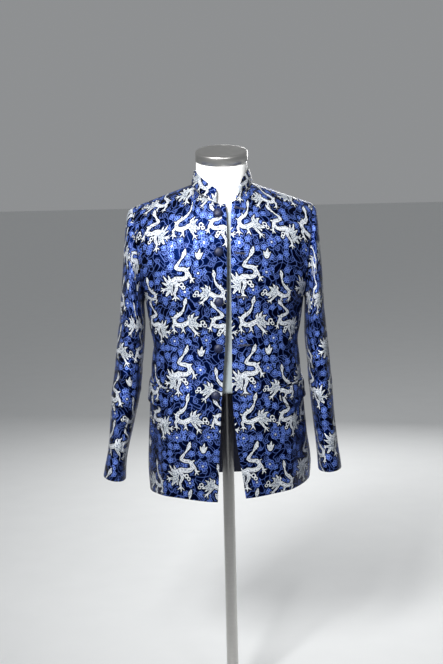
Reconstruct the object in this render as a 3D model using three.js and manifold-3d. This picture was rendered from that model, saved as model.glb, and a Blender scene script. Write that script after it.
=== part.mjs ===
// A silk brocade jacket with a stand collar, worn open on a limbless dress form.
// Millimetres, +Z up. The front faces -Y, and the origin is under the middle of the stand.
// Left and right are the wearer's, so the wearer's left is at +X.
import * as THREE from 'three';
import { mergeVertices } from 'three/addons/utils/BufferGeometryUtils.js';
import Module from 'manifold-3d';

const RIGHT = -1;
const LEFT = 1;
const DEGREE = Math.PI / 180;

// Driving dimensions of the cloth
const clothThickness = 2;
const seamGap = 0.3;
const hemHeight = 541;
const underarmHeight = 1003;
const shoulderTipHeight = 1220;
const underarmHalfWidth = 187;
const shoulderHalfWidth = 211;
const shoulderDrop = 70;
const archStart = 1080;
const bodyRoundness = 0.82;
const ridgeRadius = 22;
const armholeHalfDepth = 63;
const armholeScoop = 0.12;

// The neck opening is an upright oval column through the shoulders
const neckHalfWidth = 72;
const neckFrontDepth = 86;
const neckBackDepth = 62;

// Driving dimensions of the dress form and its stand
const formBottom = 788;
const formEase = 13;
const shoulderEase = 3.1;
const backEase = 2.2;
const chestHollow = 9;
const chestHollowSpread = 0.3;
const plateAngle = 0.35;
const plateEase = 3.5;
const formTopLevel = 1.94;
const neckTilt = 15 * DEGREE;
const capThickness = 22;
const capOverhang = 1;
const capBevel = 3;
const poleRadius = 14;
const baseRadius = 170;
const baseThickness = 12;
const baseBevel = 3;

// Sections of the jacket's body from the hem up to the underarm and the top of the chest
const bodySections = [
  { z: 540, halfWidth: 188, frontDepth: 125, backDepth: 122, seamAngle: 103 },
  { z: 600, halfWidth: 190, frontDepth: 126, backDepth: 122, seamAngle: 103 },
  { z: 660, halfWidth: 188, frontDepth: 126, backDepth: 120, seamAngle: 102 },
  { z: 720, halfWidth: 185, frontDepth: 124, backDepth: 116, seamAngle: 101 },
  { z: 780, halfWidth: 182, frontDepth: 121, backDepth: 109, seamAngle: 100 },
  { z: 840, halfWidth: 177, frontDepth: 117, backDepth: 102, seamAngle: 98 },
  { z: 890, halfWidth: 175, frontDepth: 115, backDepth: 99, seamAngle: 96 },
  { z: 940, halfWidth: 179, frontDepth: 117, backDepth: 103, seamAngle: 94 },
  { z: 980, halfWidth: 184, frontDepth: 120, backDepth: 109, seamAngle: 91.5 },
  { z: 1003, halfWidth: 187, frontDepth: 122, backDepth: 113, seamAngle: 90 },
  { z: 1080, halfWidth: 195, frontDepth: 121, backDepth: 118, seamAngle: 90 },
  { z: 1300, halfWidth: 211, frontDepth: 121, backDepth: 118, seamAngle: 90 },
];

// Where the front edges run, seen from the front, and how the edge rolls back
const frontEdges = [
  { z: 535, right: -27, left: 40, rollRight: 4, rollLeft: 3 },
  { z: 590, right: -23, left: 33, rollRight: 2, rollLeft: 2 },
  { z: 685, right: -18, left: 20, rollRight: 0, rollLeft: 1 },
  { z: 790, right: -11, left: 13, rollRight: 0, rollLeft: 1 },
  { z: 895, right: -2, left: 14, rollRight: 0, rollLeft: 1 },
  { z: 1010, right: 4, left: 15, rollRight: 0, rollLeft: 3 },
  { z: 1100, right: 7, left: 16, rollRight: 0, rollLeft: 5 },
  { z: 1170, right: 8.5, left: 17, rollRight: 0, rollLeft: 7 },
  { z: 1240, right: 7, left: 21, rollRight: 0, rollLeft: 8 },
];

const rollWidth = 14;

// How far the hem rises above its lowest level, around the body from the front edge
const hemLifts = [
  { angle: 0, right: -6, left: 0 },
  { angle: 35, right: 4, left: 12 },
  { angle: 90, right: 4, left: 20 },
  { angle: 135, right: 5, left: 11 },
  { angle: 180, right: 6, left: 6 },
];

const liftLevel = 0.625;

// The largest folds and flares of the body: a soft ridge has a positive reach, a trough a negative
const bodyFolds = [
  { angle: 100, z: 575, spread: 15, length: 95, slant: 0, reach: 13 },
  { angle: 66, z: 655, spread: 13, length: 120, slant: 4, reach: -5 },
  { angle: 82, z: 905, spread: 20, length: 26, slant: 0, reach: -4 },
  { angle: 60, z: 850, spread: 16, length: 24, slant: -30, reach: 4 },
  { angle: -82, z: 900, spread: 20, length: 24, slant: 0, reach: -4 },
  { angle: -64, z: 640, spread: 12, length: 110, slant: -4, reach: -5 },
  { angle: -99, z: 590, spread: 14, length: 90, slant: 0, reach: 4 },
  { angle: 150, z: 620, spread: 14, length: 120, slant: 0, reach: 6 },
  { angle: -150, z: 620, spread: 14, length: 120, slant: 0, reach: 6 },
  { angle: 180, z: 900, spread: 30, length: 22, slant: 0, reach: -4 },
];

const foldFadeStart = 0.85;

// Rings of each sleeve from the armhole to the cuff: the outer and the inner line as they look
// from the front, measured out from the middle, then where the ring lies front to back
const sleeveRings = {
  [RIGHT]: [
    { outerX: 211, outerZ: 1220, innerX: 187, innerZ: 1003, middleY: 0, halfDepth: 63, round: 1 },
    { outerX: 219, outerZ: 1214, innerX: 188.6, innerZ: 1000, middleY: 0, halfDepth: 66, round: 1 },
    { outerX: 225, outerZ: 1198, innerX: 190, innerZ: 994, middleY: -1, halfDepth: 69, round: 0.97 },
    { outerX: 229, outerZ: 1165, innerX: 190, innerZ: 985, middleY: -2, halfDepth: 72, round: 0.94 },
    { outerX: 234, outerZ: 1115, innerX: 189.5, innerZ: 970, middleY: -3, halfDepth: 74, round: 0.9 },
    { outerX: 240, outerZ: 1050, innerX: 189, innerZ: 944, middleY: -4, halfDepth: 74, round: 0.88 },
    { outerX: 247, outerZ: 980, innerX: 191, innerZ: 910, middleY: -5, halfDepth: 72, round: 0.86 },
    { outerX: 257, outerZ: 900, innerX: 195.5, innerZ: 866, middleY: -7, halfDepth: 69, round: 0.86 },
    { outerX: 266, outerZ: 829, innerX: 201, innerZ: 812, middleY: -10, halfDepth: 66, round: 0.86 },
    { outerX: 274.5, outerZ: 763, innerX: 210, innerZ: 758, middleY: -14, halfDepth: 62, round: 0.86 },
    { outerX: 280, outerZ: 700, innerX: 224, innerZ: 700, middleY: -19, halfDepth: 58, round: 0.86 },
    { outerX: 286, outerZ: 646, innerX: 237, innerZ: 648, middleY: -24, halfDepth: 55, round: 0.88 },
    { outerX: 293, outerZ: 613, innerX: 243, innerZ: 612, middleY: -28, halfDepth: 53, round: 0.9 },
    { outerX: 298, outerZ: 588, innerX: 245, innerZ: 577, middleY: -30, halfDepth: 53, round: 0.92 },
  ],
  [LEFT]: [
    { outerX: 211, outerZ: 1220, innerX: 187, innerZ: 1003, middleY: 0, halfDepth: 63, round: 1 },
    { outerX: 217, outerZ: 1213, innerX: 188.6, innerZ: 1000, middleY: 0, halfDepth: 66, round: 1 },
    { outerX: 221, outerZ: 1197, innerX: 190, innerZ: 994, middleY: -1, halfDepth: 69, round: 0.97 },
    { outerX: 224, outerZ: 1162, innerX: 190, innerZ: 985, middleY: -2, halfDepth: 72, round: 0.94 },
    { outerX: 227.5, outerZ: 1112, innerX: 189.5, innerZ: 970, middleY: -3, halfDepth: 75, round: 0.9 },
    { outerX: 231.5, outerZ: 1050, innerX: 189, innerZ: 944, middleY: -4, halfDepth: 76, round: 0.88 },
    { outerX: 235, outerZ: 978, innerX: 188.5, innerZ: 910, middleY: -4, halfDepth: 74, round: 0.86 },
    { outerX: 243, outerZ: 896, innerX: 191, innerZ: 866, middleY: -5, halfDepth: 71, round: 0.86 },
    { outerX: 248.5, outerZ: 826, innerX: 196, innerZ: 812, middleY: -8, halfDepth: 68, round: 0.86 },
    { outerX: 253, outerZ: 762, innerX: 200, innerZ: 758, middleY: -12, halfDepth: 64, round: 0.86 },
    { outerX: 258, outerZ: 700, innerX: 205.5, innerZ: 702, middleY: -17, halfDepth: 60, round: 0.86 },
    { outerX: 263, outerZ: 648, innerX: 210.5, innerZ: 654, middleY: -22, halfDepth: 57, round: 0.88 },
    { outerX: 267.5, outerZ: 618, innerX: 213, innerZ: 622, middleY: -25, halfDepth: 55, round: 0.9 },
    { outerX: 270, outerZ: 596, innerX: 215, innerZ: 590, middleY: -27, halfDepth: 54, round: 0.92 },
  ],
};

const scoopWay = 0.33;

// Soft troughs at the elbow and below the shoulder; turn is measured from the outer line forwards
const sleeveFolds = {
  [RIGHT]: [
    { turn: 95, z: 880, spread: 48, length: 17, slant: 20, reach: -6 },
    { turn: 80, z: 800, spread: 45, length: 16, slant: -24, reach: -5 },
    { turn: 110, z: 700, spread: 50, length: 18, slant: 22, reach: -4 },
    { turn: -90, z: 860, spread: 50, length: 20, slant: 16, reach: -4 },
  ],
  [LEFT]: [
    { turn: 90, z: 895, spread: 46, length: 18, slant: -22, reach: -5 },
    { turn: 105, z: 815, spread: 48, length: 17, slant: 24, reach: -6 },
    { turn: 80, z: 710, spread: 45, length: 18, slant: -20, reach: -4 },
    { turn: -95, z: 850, spread: 50, length: 20, slant: -16, reach: -4 },
  ],
};

// Collar
const collarFrontHeight = 37;
const collarSideHeight = 33;
const collarBackHeight = 37;
const collarLean = 0.1;
const collarRightEnd = -14;
const collarLeftEnd = 29;
const collarLeftSweep = 11;

// Pocket flaps
const flapFrontX = 121;
const flapFrontTop = 798;
const flapBackTop = 811;
const flapHeight = 43;
const flapCorner = 7;
const flapCornerDepth = 0.28;
const flapBackShare = 0.985;
const flapOut = 0.6;

// Buttons down the right front, each set back from its edge
const buttons = [
  { z: 1207, setback: 19 },
  { z: 1121, setback: 19 },
  { z: 1007, setback: 17 },
  { z: 899, setback: 15 },
  { z: 790, setback: 14 },
];
const buttonRadius = 10.5;
const buttonDome = 6;
const buttonEdge = 1.6;
const buttonUndercut = 1.5;
const shankRadius = 3.5;
const shankHeight = 2.6;

// Steps across the panels and rings
const lowerRows = 10;
const chestRows = 5;
const yokeRows = 6;
const neckColumns = 5;
const shoulderColumns = 7;
const upperSleeveColumns = 12;
const underSleeveColumns = 6;
const ringsPerSleeve = 20;
const flapRows = 4;
const domeSteps = 4;
const buttonSides = 20;
const neckSides = 40;
const poleSides = 24;
const baseSides = 48;
const formQuarter = 9;
const plateSteps = 4;
const formTorsoRows = 7;
const formChestRows = 11;
const chestLevel = 1.5;
const shoulderLevel = 2;
const undersleeveTurn = 112;

const mix = (a, b, t) => a + (b - a) * t;
const signedPower = (value, power) => Math.sign(value) * Math.abs(value) ** power;

// Smooth curve through one column of a table
function along(table, key, column, at) {
  const last = table.length - 1;
  let i = 0;
  while (i < last - 1 && at > table[i + 1][key]) i++;
  const slope = (a, b) => (table[b][column] - table[a][column]) / (table[b][key] - table[a][key]);
  const span = table[i + 1][key] - table[i][key];
  const startSlope = slope(Math.max(i - 1, 0), i + 1) * span;
  const endSlope = slope(i, Math.min(i + 2, last)) * span;
  const t = THREE.MathUtils.clamp((at - table[i][key]) / span, 0, 1);
  const t2 = t * t;
  const t3 = t2 * t;
  return table[i][column] * (2 * t3 - 3 * t2 + 1) + startSlope * (t3 - 2 * t2 + t)
    + table[i + 1][column] * (3 * t2 - 2 * t3) + endSlope * (t3 - t2);
}

// Smallest step at which a rising test turns true
function firstWhere(low, high, test) {
  for (let step = 0; step < 40; step++) {
    const middle = (low + high) / 2;
    if (test(middle)) high = middle;
    else low = middle;
  }
  return (low + high) / 2;
}

// Height that a shoulder row loses between the middle and a point x out from it
const fallTo = (x) => Math.hypot(x, ridgeRadius) - ridgeRadius;
const shoulderSlope = shoulderDrop / fallTo(shoulderHalfWidth);
const archHeight = shoulderTipHeight + shoulderDrop - archStart;

// One row of the body. Level 0 is the hem, 1 the underarm and 2 the shoulder seam.
// Past the seam the depths turn over, so that a normal there is level.
function bodyRow(level) {
  const climb = Math.max(0, level - 1);
  const past = climb > 1 ? -1 : 1;
  const turn = Math.PI * (past < 0 ? 2 - climb : climb);
  const rise = (1 - Math.cos(turn)) / 2;
  const lower = mix(hemHeight, underarmHeight, level);
  const edgeZ = level <= 1 ? lower : mix(underarmHeight, shoulderTipHeight, rise);
  const edgeX = mix(underarmHalfWidth, shoulderHalfWidth, rise);
  const drop = shoulderSlope * rise;
  const middleZ = edgeZ + (level <= 1 ? 0 : drop * fallTo(edgeX));
  const arch = Math.sqrt(Math.max(0, 1 - (Math.max(0, middleZ - archStart) / archHeight) ** 2));
  const frontDepth = along(bodySections, 'z', 'frontDepth', middleZ) * arch;
  const backDepth = along(bodySections, 'z', 'backDepth', middleZ) * arch;
  const half = along(bodySections, 'z', 'halfWidth', middleZ);
  if (level <= 1) {
    const seam = along(bodySections, 'z', 'seamAngle', middleZ) * DEGREE;
    return { drop, middleZ, frontDepth, backDepth, frontHalf: half, backHalf: half, frontEnd: seam, backEnd: seam };
  }
  const swell = armholeHalfDepth * Math.sin(turn) * (1 + armholeScoop * Math.cos(turn));
  const limit = armholeHalfDepth / along(bodySections, 'z', 'frontDepth', middleZ);
  const ratio = (depth) => (depth < 1e-6 ? limit : Math.min(1, swell / depth));
  const frontEnd = Math.acos(ratio(frontDepth) ** (1 / bodyRoundness));
  const backEnd = Math.PI - Math.acos(ratio(backDepth) ** (1 / bodyRoundness));
  return {
    drop,
    middleZ,
    frontDepth: past * frontDepth,
    backDepth: past * backDepth,
    frontHalf: edgeX / Math.sin(frontEnd) ** bodyRoundness,
    backHalf: edgeX / Math.sin(backEnd) ** bodyRoundness,
    frontEnd,
    backEnd,
  };
}

// Angle from the centre front, between -180 and 180 degrees
const wrapped = (angle) => Math.atan2(Math.sin(angle), Math.cos(angle)) / DEGREE;

function foldReach(folds, angleColumn, angle, z) {
  let reach = 0;
  for (const fold of folds) {
    const aside = wrapped((angle - fold[angleColumn]) * DEGREE);
    const up = z - fold.z - fold.slant * (aside / fold.spread);
    reach += fold.reach * Math.exp(-((aside / fold.spread) ** 2) - (up / fold.length) ** 2);
  }
  return reach;
}

// A point of the jacket's outer face, at a level and an angle round from the centre front
function bodyPoint(level, angle) {
  const row = bodyRow(level);
  const facesFront = Math.cos(angle) > 0;
  const half = facesFront ? row.frontHalf : row.backHalf;
  const depth = facesFront ? row.frontDepth : row.backDepth;
  const point = new THREE.Vector3(
    half * signedPower(Math.sin(angle), bodyRoundness),
    -depth * signedPower(Math.cos(angle), bodyRoundness),
    row.middleZ,
  );
  const round = wrapped(angle);
  const loose = 1 - THREE.MathUtils.smoothstep(level, foldFadeStart, 1);
  const push = loose * foldReach(bodyFolds, 'angle', round, row.middleZ);
  const flat = Math.hypot(point.x, point.y);
  if (flat > 0) {
    point.x += push * point.x / flat;
    point.y += push * point.y / flat;
  }
  const lift = along(hemLifts, 'angle', round < 0 ? 'right' : 'left', Math.abs(round));
  point.z += lift * Math.max(0, 1 - level / liftLevel) ** 2 - row.drop * fallTo(point.x);
  return point;
}

// Front edges sit back a little from the smooth face, most at the left one's top
function rollOf(side, level, angle) {
  const row = bodyRow(level);
  const column = side === RIGHT ? 'rollRight' : 'rollLeft';
  const roll = along(frontEdges, 'z', column, row.middleZ);
  const past = side * (bodyPoint(level, angle).x - edgeAt(side, row.middleZ));
  return roll * Math.exp(-((past / rollWidth) ** 2));
}

function edgeAt(side, z) {
  return along(frontEdges, 'z', side === RIGHT ? 'right' : 'left', z);
}

const nudge = 1e-3;
function bodyNormal(level, angle) {
  const across = bodyPoint(level, angle + nudge).sub(bodyPoint(level, angle - nudge));
  const up = bodyPoint(level + nudge, angle).sub(bodyPoint(level - nudge, angle));
  return across.cross(up).normalize();
}

// A closed wall between two grids of points; the first grid's faces look away from the second's
function wallGeometry(outer, inner, flip) {
  const rows = outer.length;
  const columns = outer[0].length;
  const positions = [...outer.flat(), ...inner.flat()].flatMap((p) => [p.x, p.y, p.z]);
  const index = [];
  const at = (face, i, j) => face * rows * columns + i * columns + j;
  const quad = (a, b, c, d) => {
    if (flip) index.push(a, c, b, a, d, c);
    else index.push(a, b, c, a, c, d);
  };
  for (let i = 0; i < rows - 1; i++) {
    for (let j = 0; j < columns - 1; j++) {
      quad(at(0, i, j), at(0, i, j + 1), at(0, i + 1, j + 1), at(0, i + 1, j));
      quad(at(1, i, j), at(1, i + 1, j), at(1, i + 1, j + 1), at(1, i, j + 1));
    }
    quad(at(0, i, 0), at(0, i + 1, 0), at(1, i + 1, 0), at(1, i, 0));
    quad(at(0, i, columns - 1), at(1, i, columns - 1), at(1, i + 1, columns - 1), at(0, i + 1, columns - 1));
  }
  for (let j = 0; j < columns - 1; j++) {
    quad(at(0, 0, j + 1), at(0, 0, j), at(1, 0, j), at(1, 0, j + 1));
    quad(at(0, rows - 1, j), at(0, rows - 1, j + 1), at(1, rows - 1, j + 1), at(1, rows - 1, j));
  }
  const geometry = new THREE.BufferGeometry();
  geometry.setAttribute('position', new THREE.Float32BufferAttribute(positions, 3));
  geometry.setIndex(index);
  return geometry;
}

// Levels of a panel's rows in one column, ending on the neckline or the shoulder seam
function columnLevels(top) {
  const levels = [];
  for (let i = 0; i <= lowerRows; i++) levels.push(i / lowerRows);
  for (let i = 1; i <= chestRows; i++) levels.push(mix(1, chestLevel, i / chestRows));
  for (let i = 1; i <= yokeRows; i++) levels.push(mix(chestLevel, top, i / yokeRows));
  return levels;
}

const inNeck = (point, depth) => (point.x / neckHalfWidth) ** 2 + (point.y / depth) ** 2 < 1;

// Level at which one column of a panel meets the neckline
function topLevel(angleAt, depth) {
  if (Math.abs(bodyPoint(shoulderLevel, angleAt(shoulderLevel)).x) > neckHalfWidth - 1e-6) return shoulderLevel;
  return firstWhere(chestLevel, shoulderLevel, (level) => inNeck(bodyPoint(level, angleAt(level)), depth));
}

// Shares of a panel's width at which its columns stand, with one on the side of the neck
function columnShares(angleAtShare) {
  const neckShare = firstWhere(0, 1, (share) => (
    Math.abs(bodyPoint(shoulderLevel, angleAtShare(shoulderLevel, share)).x) > neckHalfWidth
  ));
  const shares = [];
  for (let j = 0; j < neckColumns; j++) {
    shares.push(neckShare * Math.sin((j / neckColumns) * Math.PI / 2) ** (1 / bodyRoundness));
  }
  for (let j = 0; j <= shoulderColumns; j++) shares.push(mix(neckShare, 1, j / shoulderColumns));
  return shares;
}

const halfGap = seamGap / 2;
const seamRadius = 115;
const seamGapAngle = halfGap / seamRadius;

// Angle of a front panel's point, from its edge at share 0 to the seam or armhole at share 1
function frontAngle(side, level, share) {
  const row = bodyRow(level);
  const edge = side * edgeAt(side, row.middleZ);
  const start = Math.asin(signedPower(edge / row.frontHalf, 1 / bodyRoundness));
  const end = row.frontEnd - (level <= 1 ? seamGapAngle : 0);
  return side * mix(start, end, share);
}

// Angle of a back point on one side, from the centre at share 0 to the seam or armhole at share 1
function backAngle(side, level, share) {
  const row = bodyRow(level);
  return side * mix(Math.PI, row.backEnd + (level <= 1 ? seamGapAngle : 0), share);
}

// Outer and inner grids of a panel from the level and angle of each point
function panelGrids(columns, place) {
  const outer = [];
  const inner = [];
  for (let i = 0; i < columns[0].levels.length; i++) {
    outer.push(columns.map((column) => place(column, column.levels[i], 0)));
    inner.push(columns.map((column) => place(column, column.levels[i], clothThickness)));
  }
  return { outer, inner };
}

function frontColumns(side) {
  return columnShares((level, share) => frontAngle(side, level, share)).map((share) => {
    const angleAt = (level) => frontAngle(side, level, share);
    return { angleAt, levels: columnLevels(topLevel(angleAt, neckFrontDepth)) };
  });
}

function placeFront(side, column, level, inset) {
  const angle = column.angleAt(level);
  const normal = bodyNormal(level, angle);
  const point = bodyPoint(level, angle).addScaledVector(normal, -inset);
  point.y += rollOf(side, level, angle);
  if (level > chestLevel) point.y -= halfGap * (level - chestLevel) / (shoulderLevel - chestLevel);
  return point;
}

function frontGeometry(side) {
  const grids = panelGrids(frontColumns(side), (column, level, inset) => placeFront(side, column, level, inset));
  return wallGeometry(grids.outer, grids.inner, side === RIGHT);
}

// The back's columns run from the wearer's left round the centre to the right
function backColumns() {
  const half = (side) => columnShares((level, share) => backAngle(side, level, share)).map((share) => {
    const angleAt = (level) => backAngle(side, level, share);
    return { angleAt, levels: columnLevels(topLevel(angleAt, neckBackDepth)) };
  });
  return [...half(LEFT).reverse(), ...half(RIGHT).slice(1)];
}

function placeBack(column, level, inset) {
  const angle = column.angleAt(level);
  const point = bodyPoint(level, angle).addScaledVector(bodyNormal(level, angle), -inset);
  if (level > chestLevel) point.y += halfGap * (level - chestLevel) / (shoulderLevel - chestLevel);
  return point;
}

function backGeometry() {
  const grids = panelGrids(backColumns(), placeBack);
  return wallGeometry(grids.outer, grids.inner, false);
}

// A point of a sleeve's outer face; way runs from 0 at the armhole to 1 at the cuff
function sleevePoint(side, way, turn) {
  const rings = sleeveRings[side].map((ring, i, all) => ({ ...ring, way: i / (all.length - 1) }));
  const column = (name) => along(rings, 'way', name, way);
  const scoop = armholeScoop * Math.max(0, 1 - way / scoopWay);
  const across = signedPower(Math.cos(turn), column('round'));
  const ahead = signedPower(Math.sin(turn), column('round')) * (1 - scoop * Math.cos(turn));
  const point = new THREE.Vector3(
    mix(column('innerX'), column('outerX'), (1 + across) / 2),
    column('middleY') - column('halfDepth') * ahead,
    mix(column('innerZ'), column('outerZ'), (1 + across) / 2),
  );
  const loose = THREE.MathUtils.smoothstep(way, 0.1, 0.3);
  const push = loose * foldReach(sleeveFolds[side], 'turn', turn / DEGREE, point.z);
  point.x += push * across;
  point.y -= push * ahead;
  point.x = side * (point.x + seamGap);
  return point;
}

const armholePlane = new THREE.Vector3(
  shoulderTipHeight - underarmHeight,
  0,
  underarmHalfWidth - shoulderHalfWidth,
).normalize();

function sleeveNormal(side, way, turn) {
  const start = Math.max(0, way - nudge);
  const end = Math.min(1, way + nudge);
  const round = sleevePoint(side, way, turn + nudge).sub(sleevePoint(side, way, turn - nudge));
  const down = sleevePoint(side, end, turn).sub(sleevePoint(side, start, turn));
  const normal = round.cross(down).multiplyScalar(side);
  if (way === 0) {
    const plane = armholePlane.clone().multiply(new THREE.Vector3(side, 1, 1));
    normal.addScaledVector(plane, -normal.dot(plane));
  }
  return normal.normalize();
}

// Upper and under sleeve are strips of the same rings, parted at the two sleeve seams
function sleeveGeometry(side, fromTurn, toTurn, columns) {
  const outer = [];
  const inner = [];
  const partAngle = seamGapAngle * 2;
  for (let i = 0; i <= ringsPerSleeve; i++) {
    const way = i / ringsPerSleeve;
    const place = (inset) => Array.from({ length: columns + 1 }, (_, j) => {
      const turn = mix(fromTurn * DEGREE + partAngle, toTurn * DEGREE - partAngle, j / columns);
      return sleevePoint(side, way, turn).addScaledVector(sleeveNormal(side, way, turn), -inset);
    });
    outer.push(place(0));
    inner.push(place(clothThickness));
  }
  return wallGeometry(outer, inner, side === RIGHT);
}

// Neckline from the right front's edge round the back to the left front's
function necklinePoints() {
  const fronts = (side) => frontColumns(side).slice(0, neckColumns + 1).map((column) => (
    placeFront(side, column, column.levels.at(-1), 0)
  ));
  const middle = backColumns().slice(shoulderColumns, -shoulderColumns).map((column) => (
    placeBack(column, column.levels.at(-1), 0)
  ));
  return [...fronts(RIGHT), ...middle.slice(1, -1).reverse(), ...fronts(LEFT).reverse()];
}

// The stand collar rises from the neckline and leans in to the neck
function collarGeometry() {
  const line = necklinePoints();
  const startX = line.findIndex((point) => point.x < collarRightEnd);
  const endX = line.length - 1 - [...line].reverse().findIndex((point) => point.x > collarLeftEnd);
  const cut = (a, b, x) => a.clone().lerp(b, (x - a.x) / (b.x - a.x));
  const first = cut(line[startX - 1], line[startX], collarRightEnd);
  const last = cut(line[endX], line[endX + 1], collarLeftEnd);
  const base = [first, ...line.slice(startX, endX + 1), last];
  const wallOf = (inset) => [0, 0.5, 1].map((share) => base.map((point, j) => {
    const ahead = -point.y / Math.hypot(point.x, point.y);
    const full = mix(collarSideHeight, ahead > 0 ? collarFrontHeight : collarBackHeight, ahead ** 2);
    const lean = 1 - collarLean * share;
    const out = new THREE.Vector2(point.x / neckHalfWidth ** 2, point.y / neckFrontDepth ** 2).normalize();
    const sweep = j === base.length - 1 ? collarLeftSweep * share : 0;
    return new THREE.Vector3(
      point.x * lean - out.x * inset + sweep,
      point.y * lean - out.y * inset,
      point.z + seamGap + full * share,
    );
  }));
  return wallGeometry(wallOf(0), wallOf(clothThickness), true);
}

// The nearest place on a panel's mesh, looking back at it from outside
const outsideReach = 30;
function panelHit(panel, point, normal) {
  const eye = point.clone().addScaledVector(normal, outsideReach);
  return new THREE.Raycaster(eye, normal.clone().negate()).intersectObject(panel)[0];
}

// A flap lies on its front panel, from below the dart back to the side seam
function flapGeometry(side, panel) {
  const levelAt = (z) => (z - hemHeight) / (underarmHeight - hemHeight);
  const topBack = levelAt(flapBackTop);
  const panelShares = columnShares((level, share) => frontAngle(side, level, share));
  const start = firstWhere(0, 1, (share) => (
    Math.abs(bodyPoint(topBack, frontAngle(side, topBack, share)).x) > flapFrontX
  ));
  const between = panelShares.filter((share) => share > start + 0.02 && share < flapBackShare);
  const folds = [start, ...between, flapBackShare];
  const shares = folds.slice(1).flatMap((share, i) => [folds[i], (folds[i] + share) / 2]);
  shares.push(flapBackShare);
  const grid = (out) => Array.from({ length: flapRows + 1 }, (_, i) => shares.map((share) => {
    const length = (share - start) / (flapBackShare - start);
    const rounding = 1 - flapCornerDepth * Math.abs(2 * length - 1) ** flapCorner;
    const z = mix(flapFrontTop, flapBackTop, length) - flapHeight * rounding * (1 - i / flapRows);
    const level = levelAt(z);
    const angle = frontAngle(side, level, share);
    const normal = bodyNormal(level, angle);
    return panelHit(panel, bodyPoint(level, angle), normal).point.addScaledVector(normal, out);
  }));
  return wallGeometry(grid(flapOut + clothThickness), grid(flapOut), side === RIGHT);
}

// A covered button: a soft dome on a short shank, turned to face out from the panel
function buttonGeometry() {
  const rim = shankHeight + buttonEdge;
  const profile = [
    new THREE.Vector2(0, 0),
    new THREE.Vector2(shankRadius, 0),
    new THREE.Vector2(shankRadius, shankHeight),
    new THREE.Vector2(buttonRadius - buttonUndercut, shankHeight),
  ];
  for (let i = 0; i <= domeSteps; i++) {
    const angle = (i / domeSteps) * (Math.PI / 2);
    profile.push(new THREE.Vector2(buttonRadius * Math.cos(angle), rim + buttonDome * Math.sin(angle)));
  }
  profile.at(-1).x = 0;
  return new THREE.LatheGeometry(profile, buttonSides);
}

function placeButton(mesh, { z, setback }, panel) {
  const level = z > underarmHeight
    ? firstWhere(1, shoulderLevel, (at) => bodyPoint(at, 0).z > z)
    : (z - hemHeight) / (underarmHeight - hemHeight);
  const row = bodyRow(level);
  const x = edgeAt(RIGHT, row.middleZ) - setback;
  const angle = Math.asin(signedPower(x / row.frontHalf, 1 / bodyRoundness));
  const hit = panelHit(panel, bodyPoint(level, angle), bodyNormal(level, angle));
  mesh.position.copy(hit.point).addScaledVector(hit.face.normal, seamGap);
  mesh.quaternion.setFromUnitVectors(new THREE.Vector3(0, 1, 0), hit.face.normal);
}

// The form's torso fills the jacket with some ease, closed over at the armholes
function formRing(level) {
  const row = bodyRow(level);
  const slack = mix(formEase, shoulderEase, THREE.MathUtils.smoothstep(level, 1.2, 1.8));
  const armholeX = mix(underarmHalfWidth, shoulderHalfWidth, row.drop / shoulderSlope);
  const widest = level > 1 ? armholeX - plateEase : Infinity;
  const inside = (angle) => {
    const hollow = Math.cos(angle) > 0 ? chestHollow * Math.exp(-((Math.sin(angle) / chestHollowSpread) ** 2)) : backEase;
    const point = bodyPoint(level, angle).addScaledVector(bodyNormal(level, angle), -slack - hollow);
    point.x = Math.min(point.x, widest);
    return point;
  };
  const ends = [Math.min(row.frontEnd, Math.PI / 2 - plateAngle), Math.max(row.backEnd, Math.PI / 2 + plateAngle)];
  const half = [];
  for (let i = 0; i <= formQuarter; i++) half.push(inside(ends[0] * (i / formQuarter)));
  const backwards = inside(ends[1]);
  const plateStart = half.at(-1).clone();
  for (let i = 1; i < plateSteps; i++) {
    const share = i / plateSteps;
    const across = plateStart.clone().lerp(backwards, share);
    half.push(across);
  }
  for (let i = 0; i < formQuarter; i++) half.push(inside(mix(ends[1], Math.PI, i / formQuarter)));
  const middleBack = inside(Math.PI);
  half[0].x = 0;
  middleBack.x = 0;
  const mirrored = half.slice(1).reverse().map((point) => new THREE.Vector3(-point.x, point.y, point.z));
  return [...half, middleBack, ...mirrored];
}

// A closed solid through rings of points, with a fan or a ladder of quads over each end
function loftGeometry(rings, ladderTop) {
  const count = rings[0].length;
  const positions = rings.flat().flatMap((p) => [p.x, p.y, p.z]);
  const index = [];
  for (let i = 0; i < rings.length - 1; i++) {
    for (let j = 0; j < count; j++) {
      const next = (j + 1) % count;
      const a = i * count;
      const b = a + count;
      index.push(a + j, a + next, b + next, a + j, b + next, b + j);
    }
  }
  const cap = (start, top) => {
    const face = (p, q, r) => (top ? index.push(start + p, start + q, start + r) : index.push(start + p, start + r, start + q));
    if (!ladderTop) {
      for (let j = 1; j < count - 1; j++) face(0, j, j + 1);
      return;
    }
    const half = count / 2;
    const span = half / 2;
    for (const shift of [0, half]) {
      for (let j = 0; j < span; j++) {
        const [p, q] = [shift + j, shift + j + 1];
        const [r, s] = [(shift + half - j - 1) % count, (shift + half - j) % count];
        if (q !== r) face(p, q, r);
        face(p, r, s);
      }
    }
  };
  cap(0, false);
  cap((rings.length - 1) * count, true);
  const geometry = new THREE.BufferGeometry();
  geometry.setAttribute('position', new THREE.Float32BufferAttribute(positions, 3));
  geometry.setIndex(index);
  return geometry;
}

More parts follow.
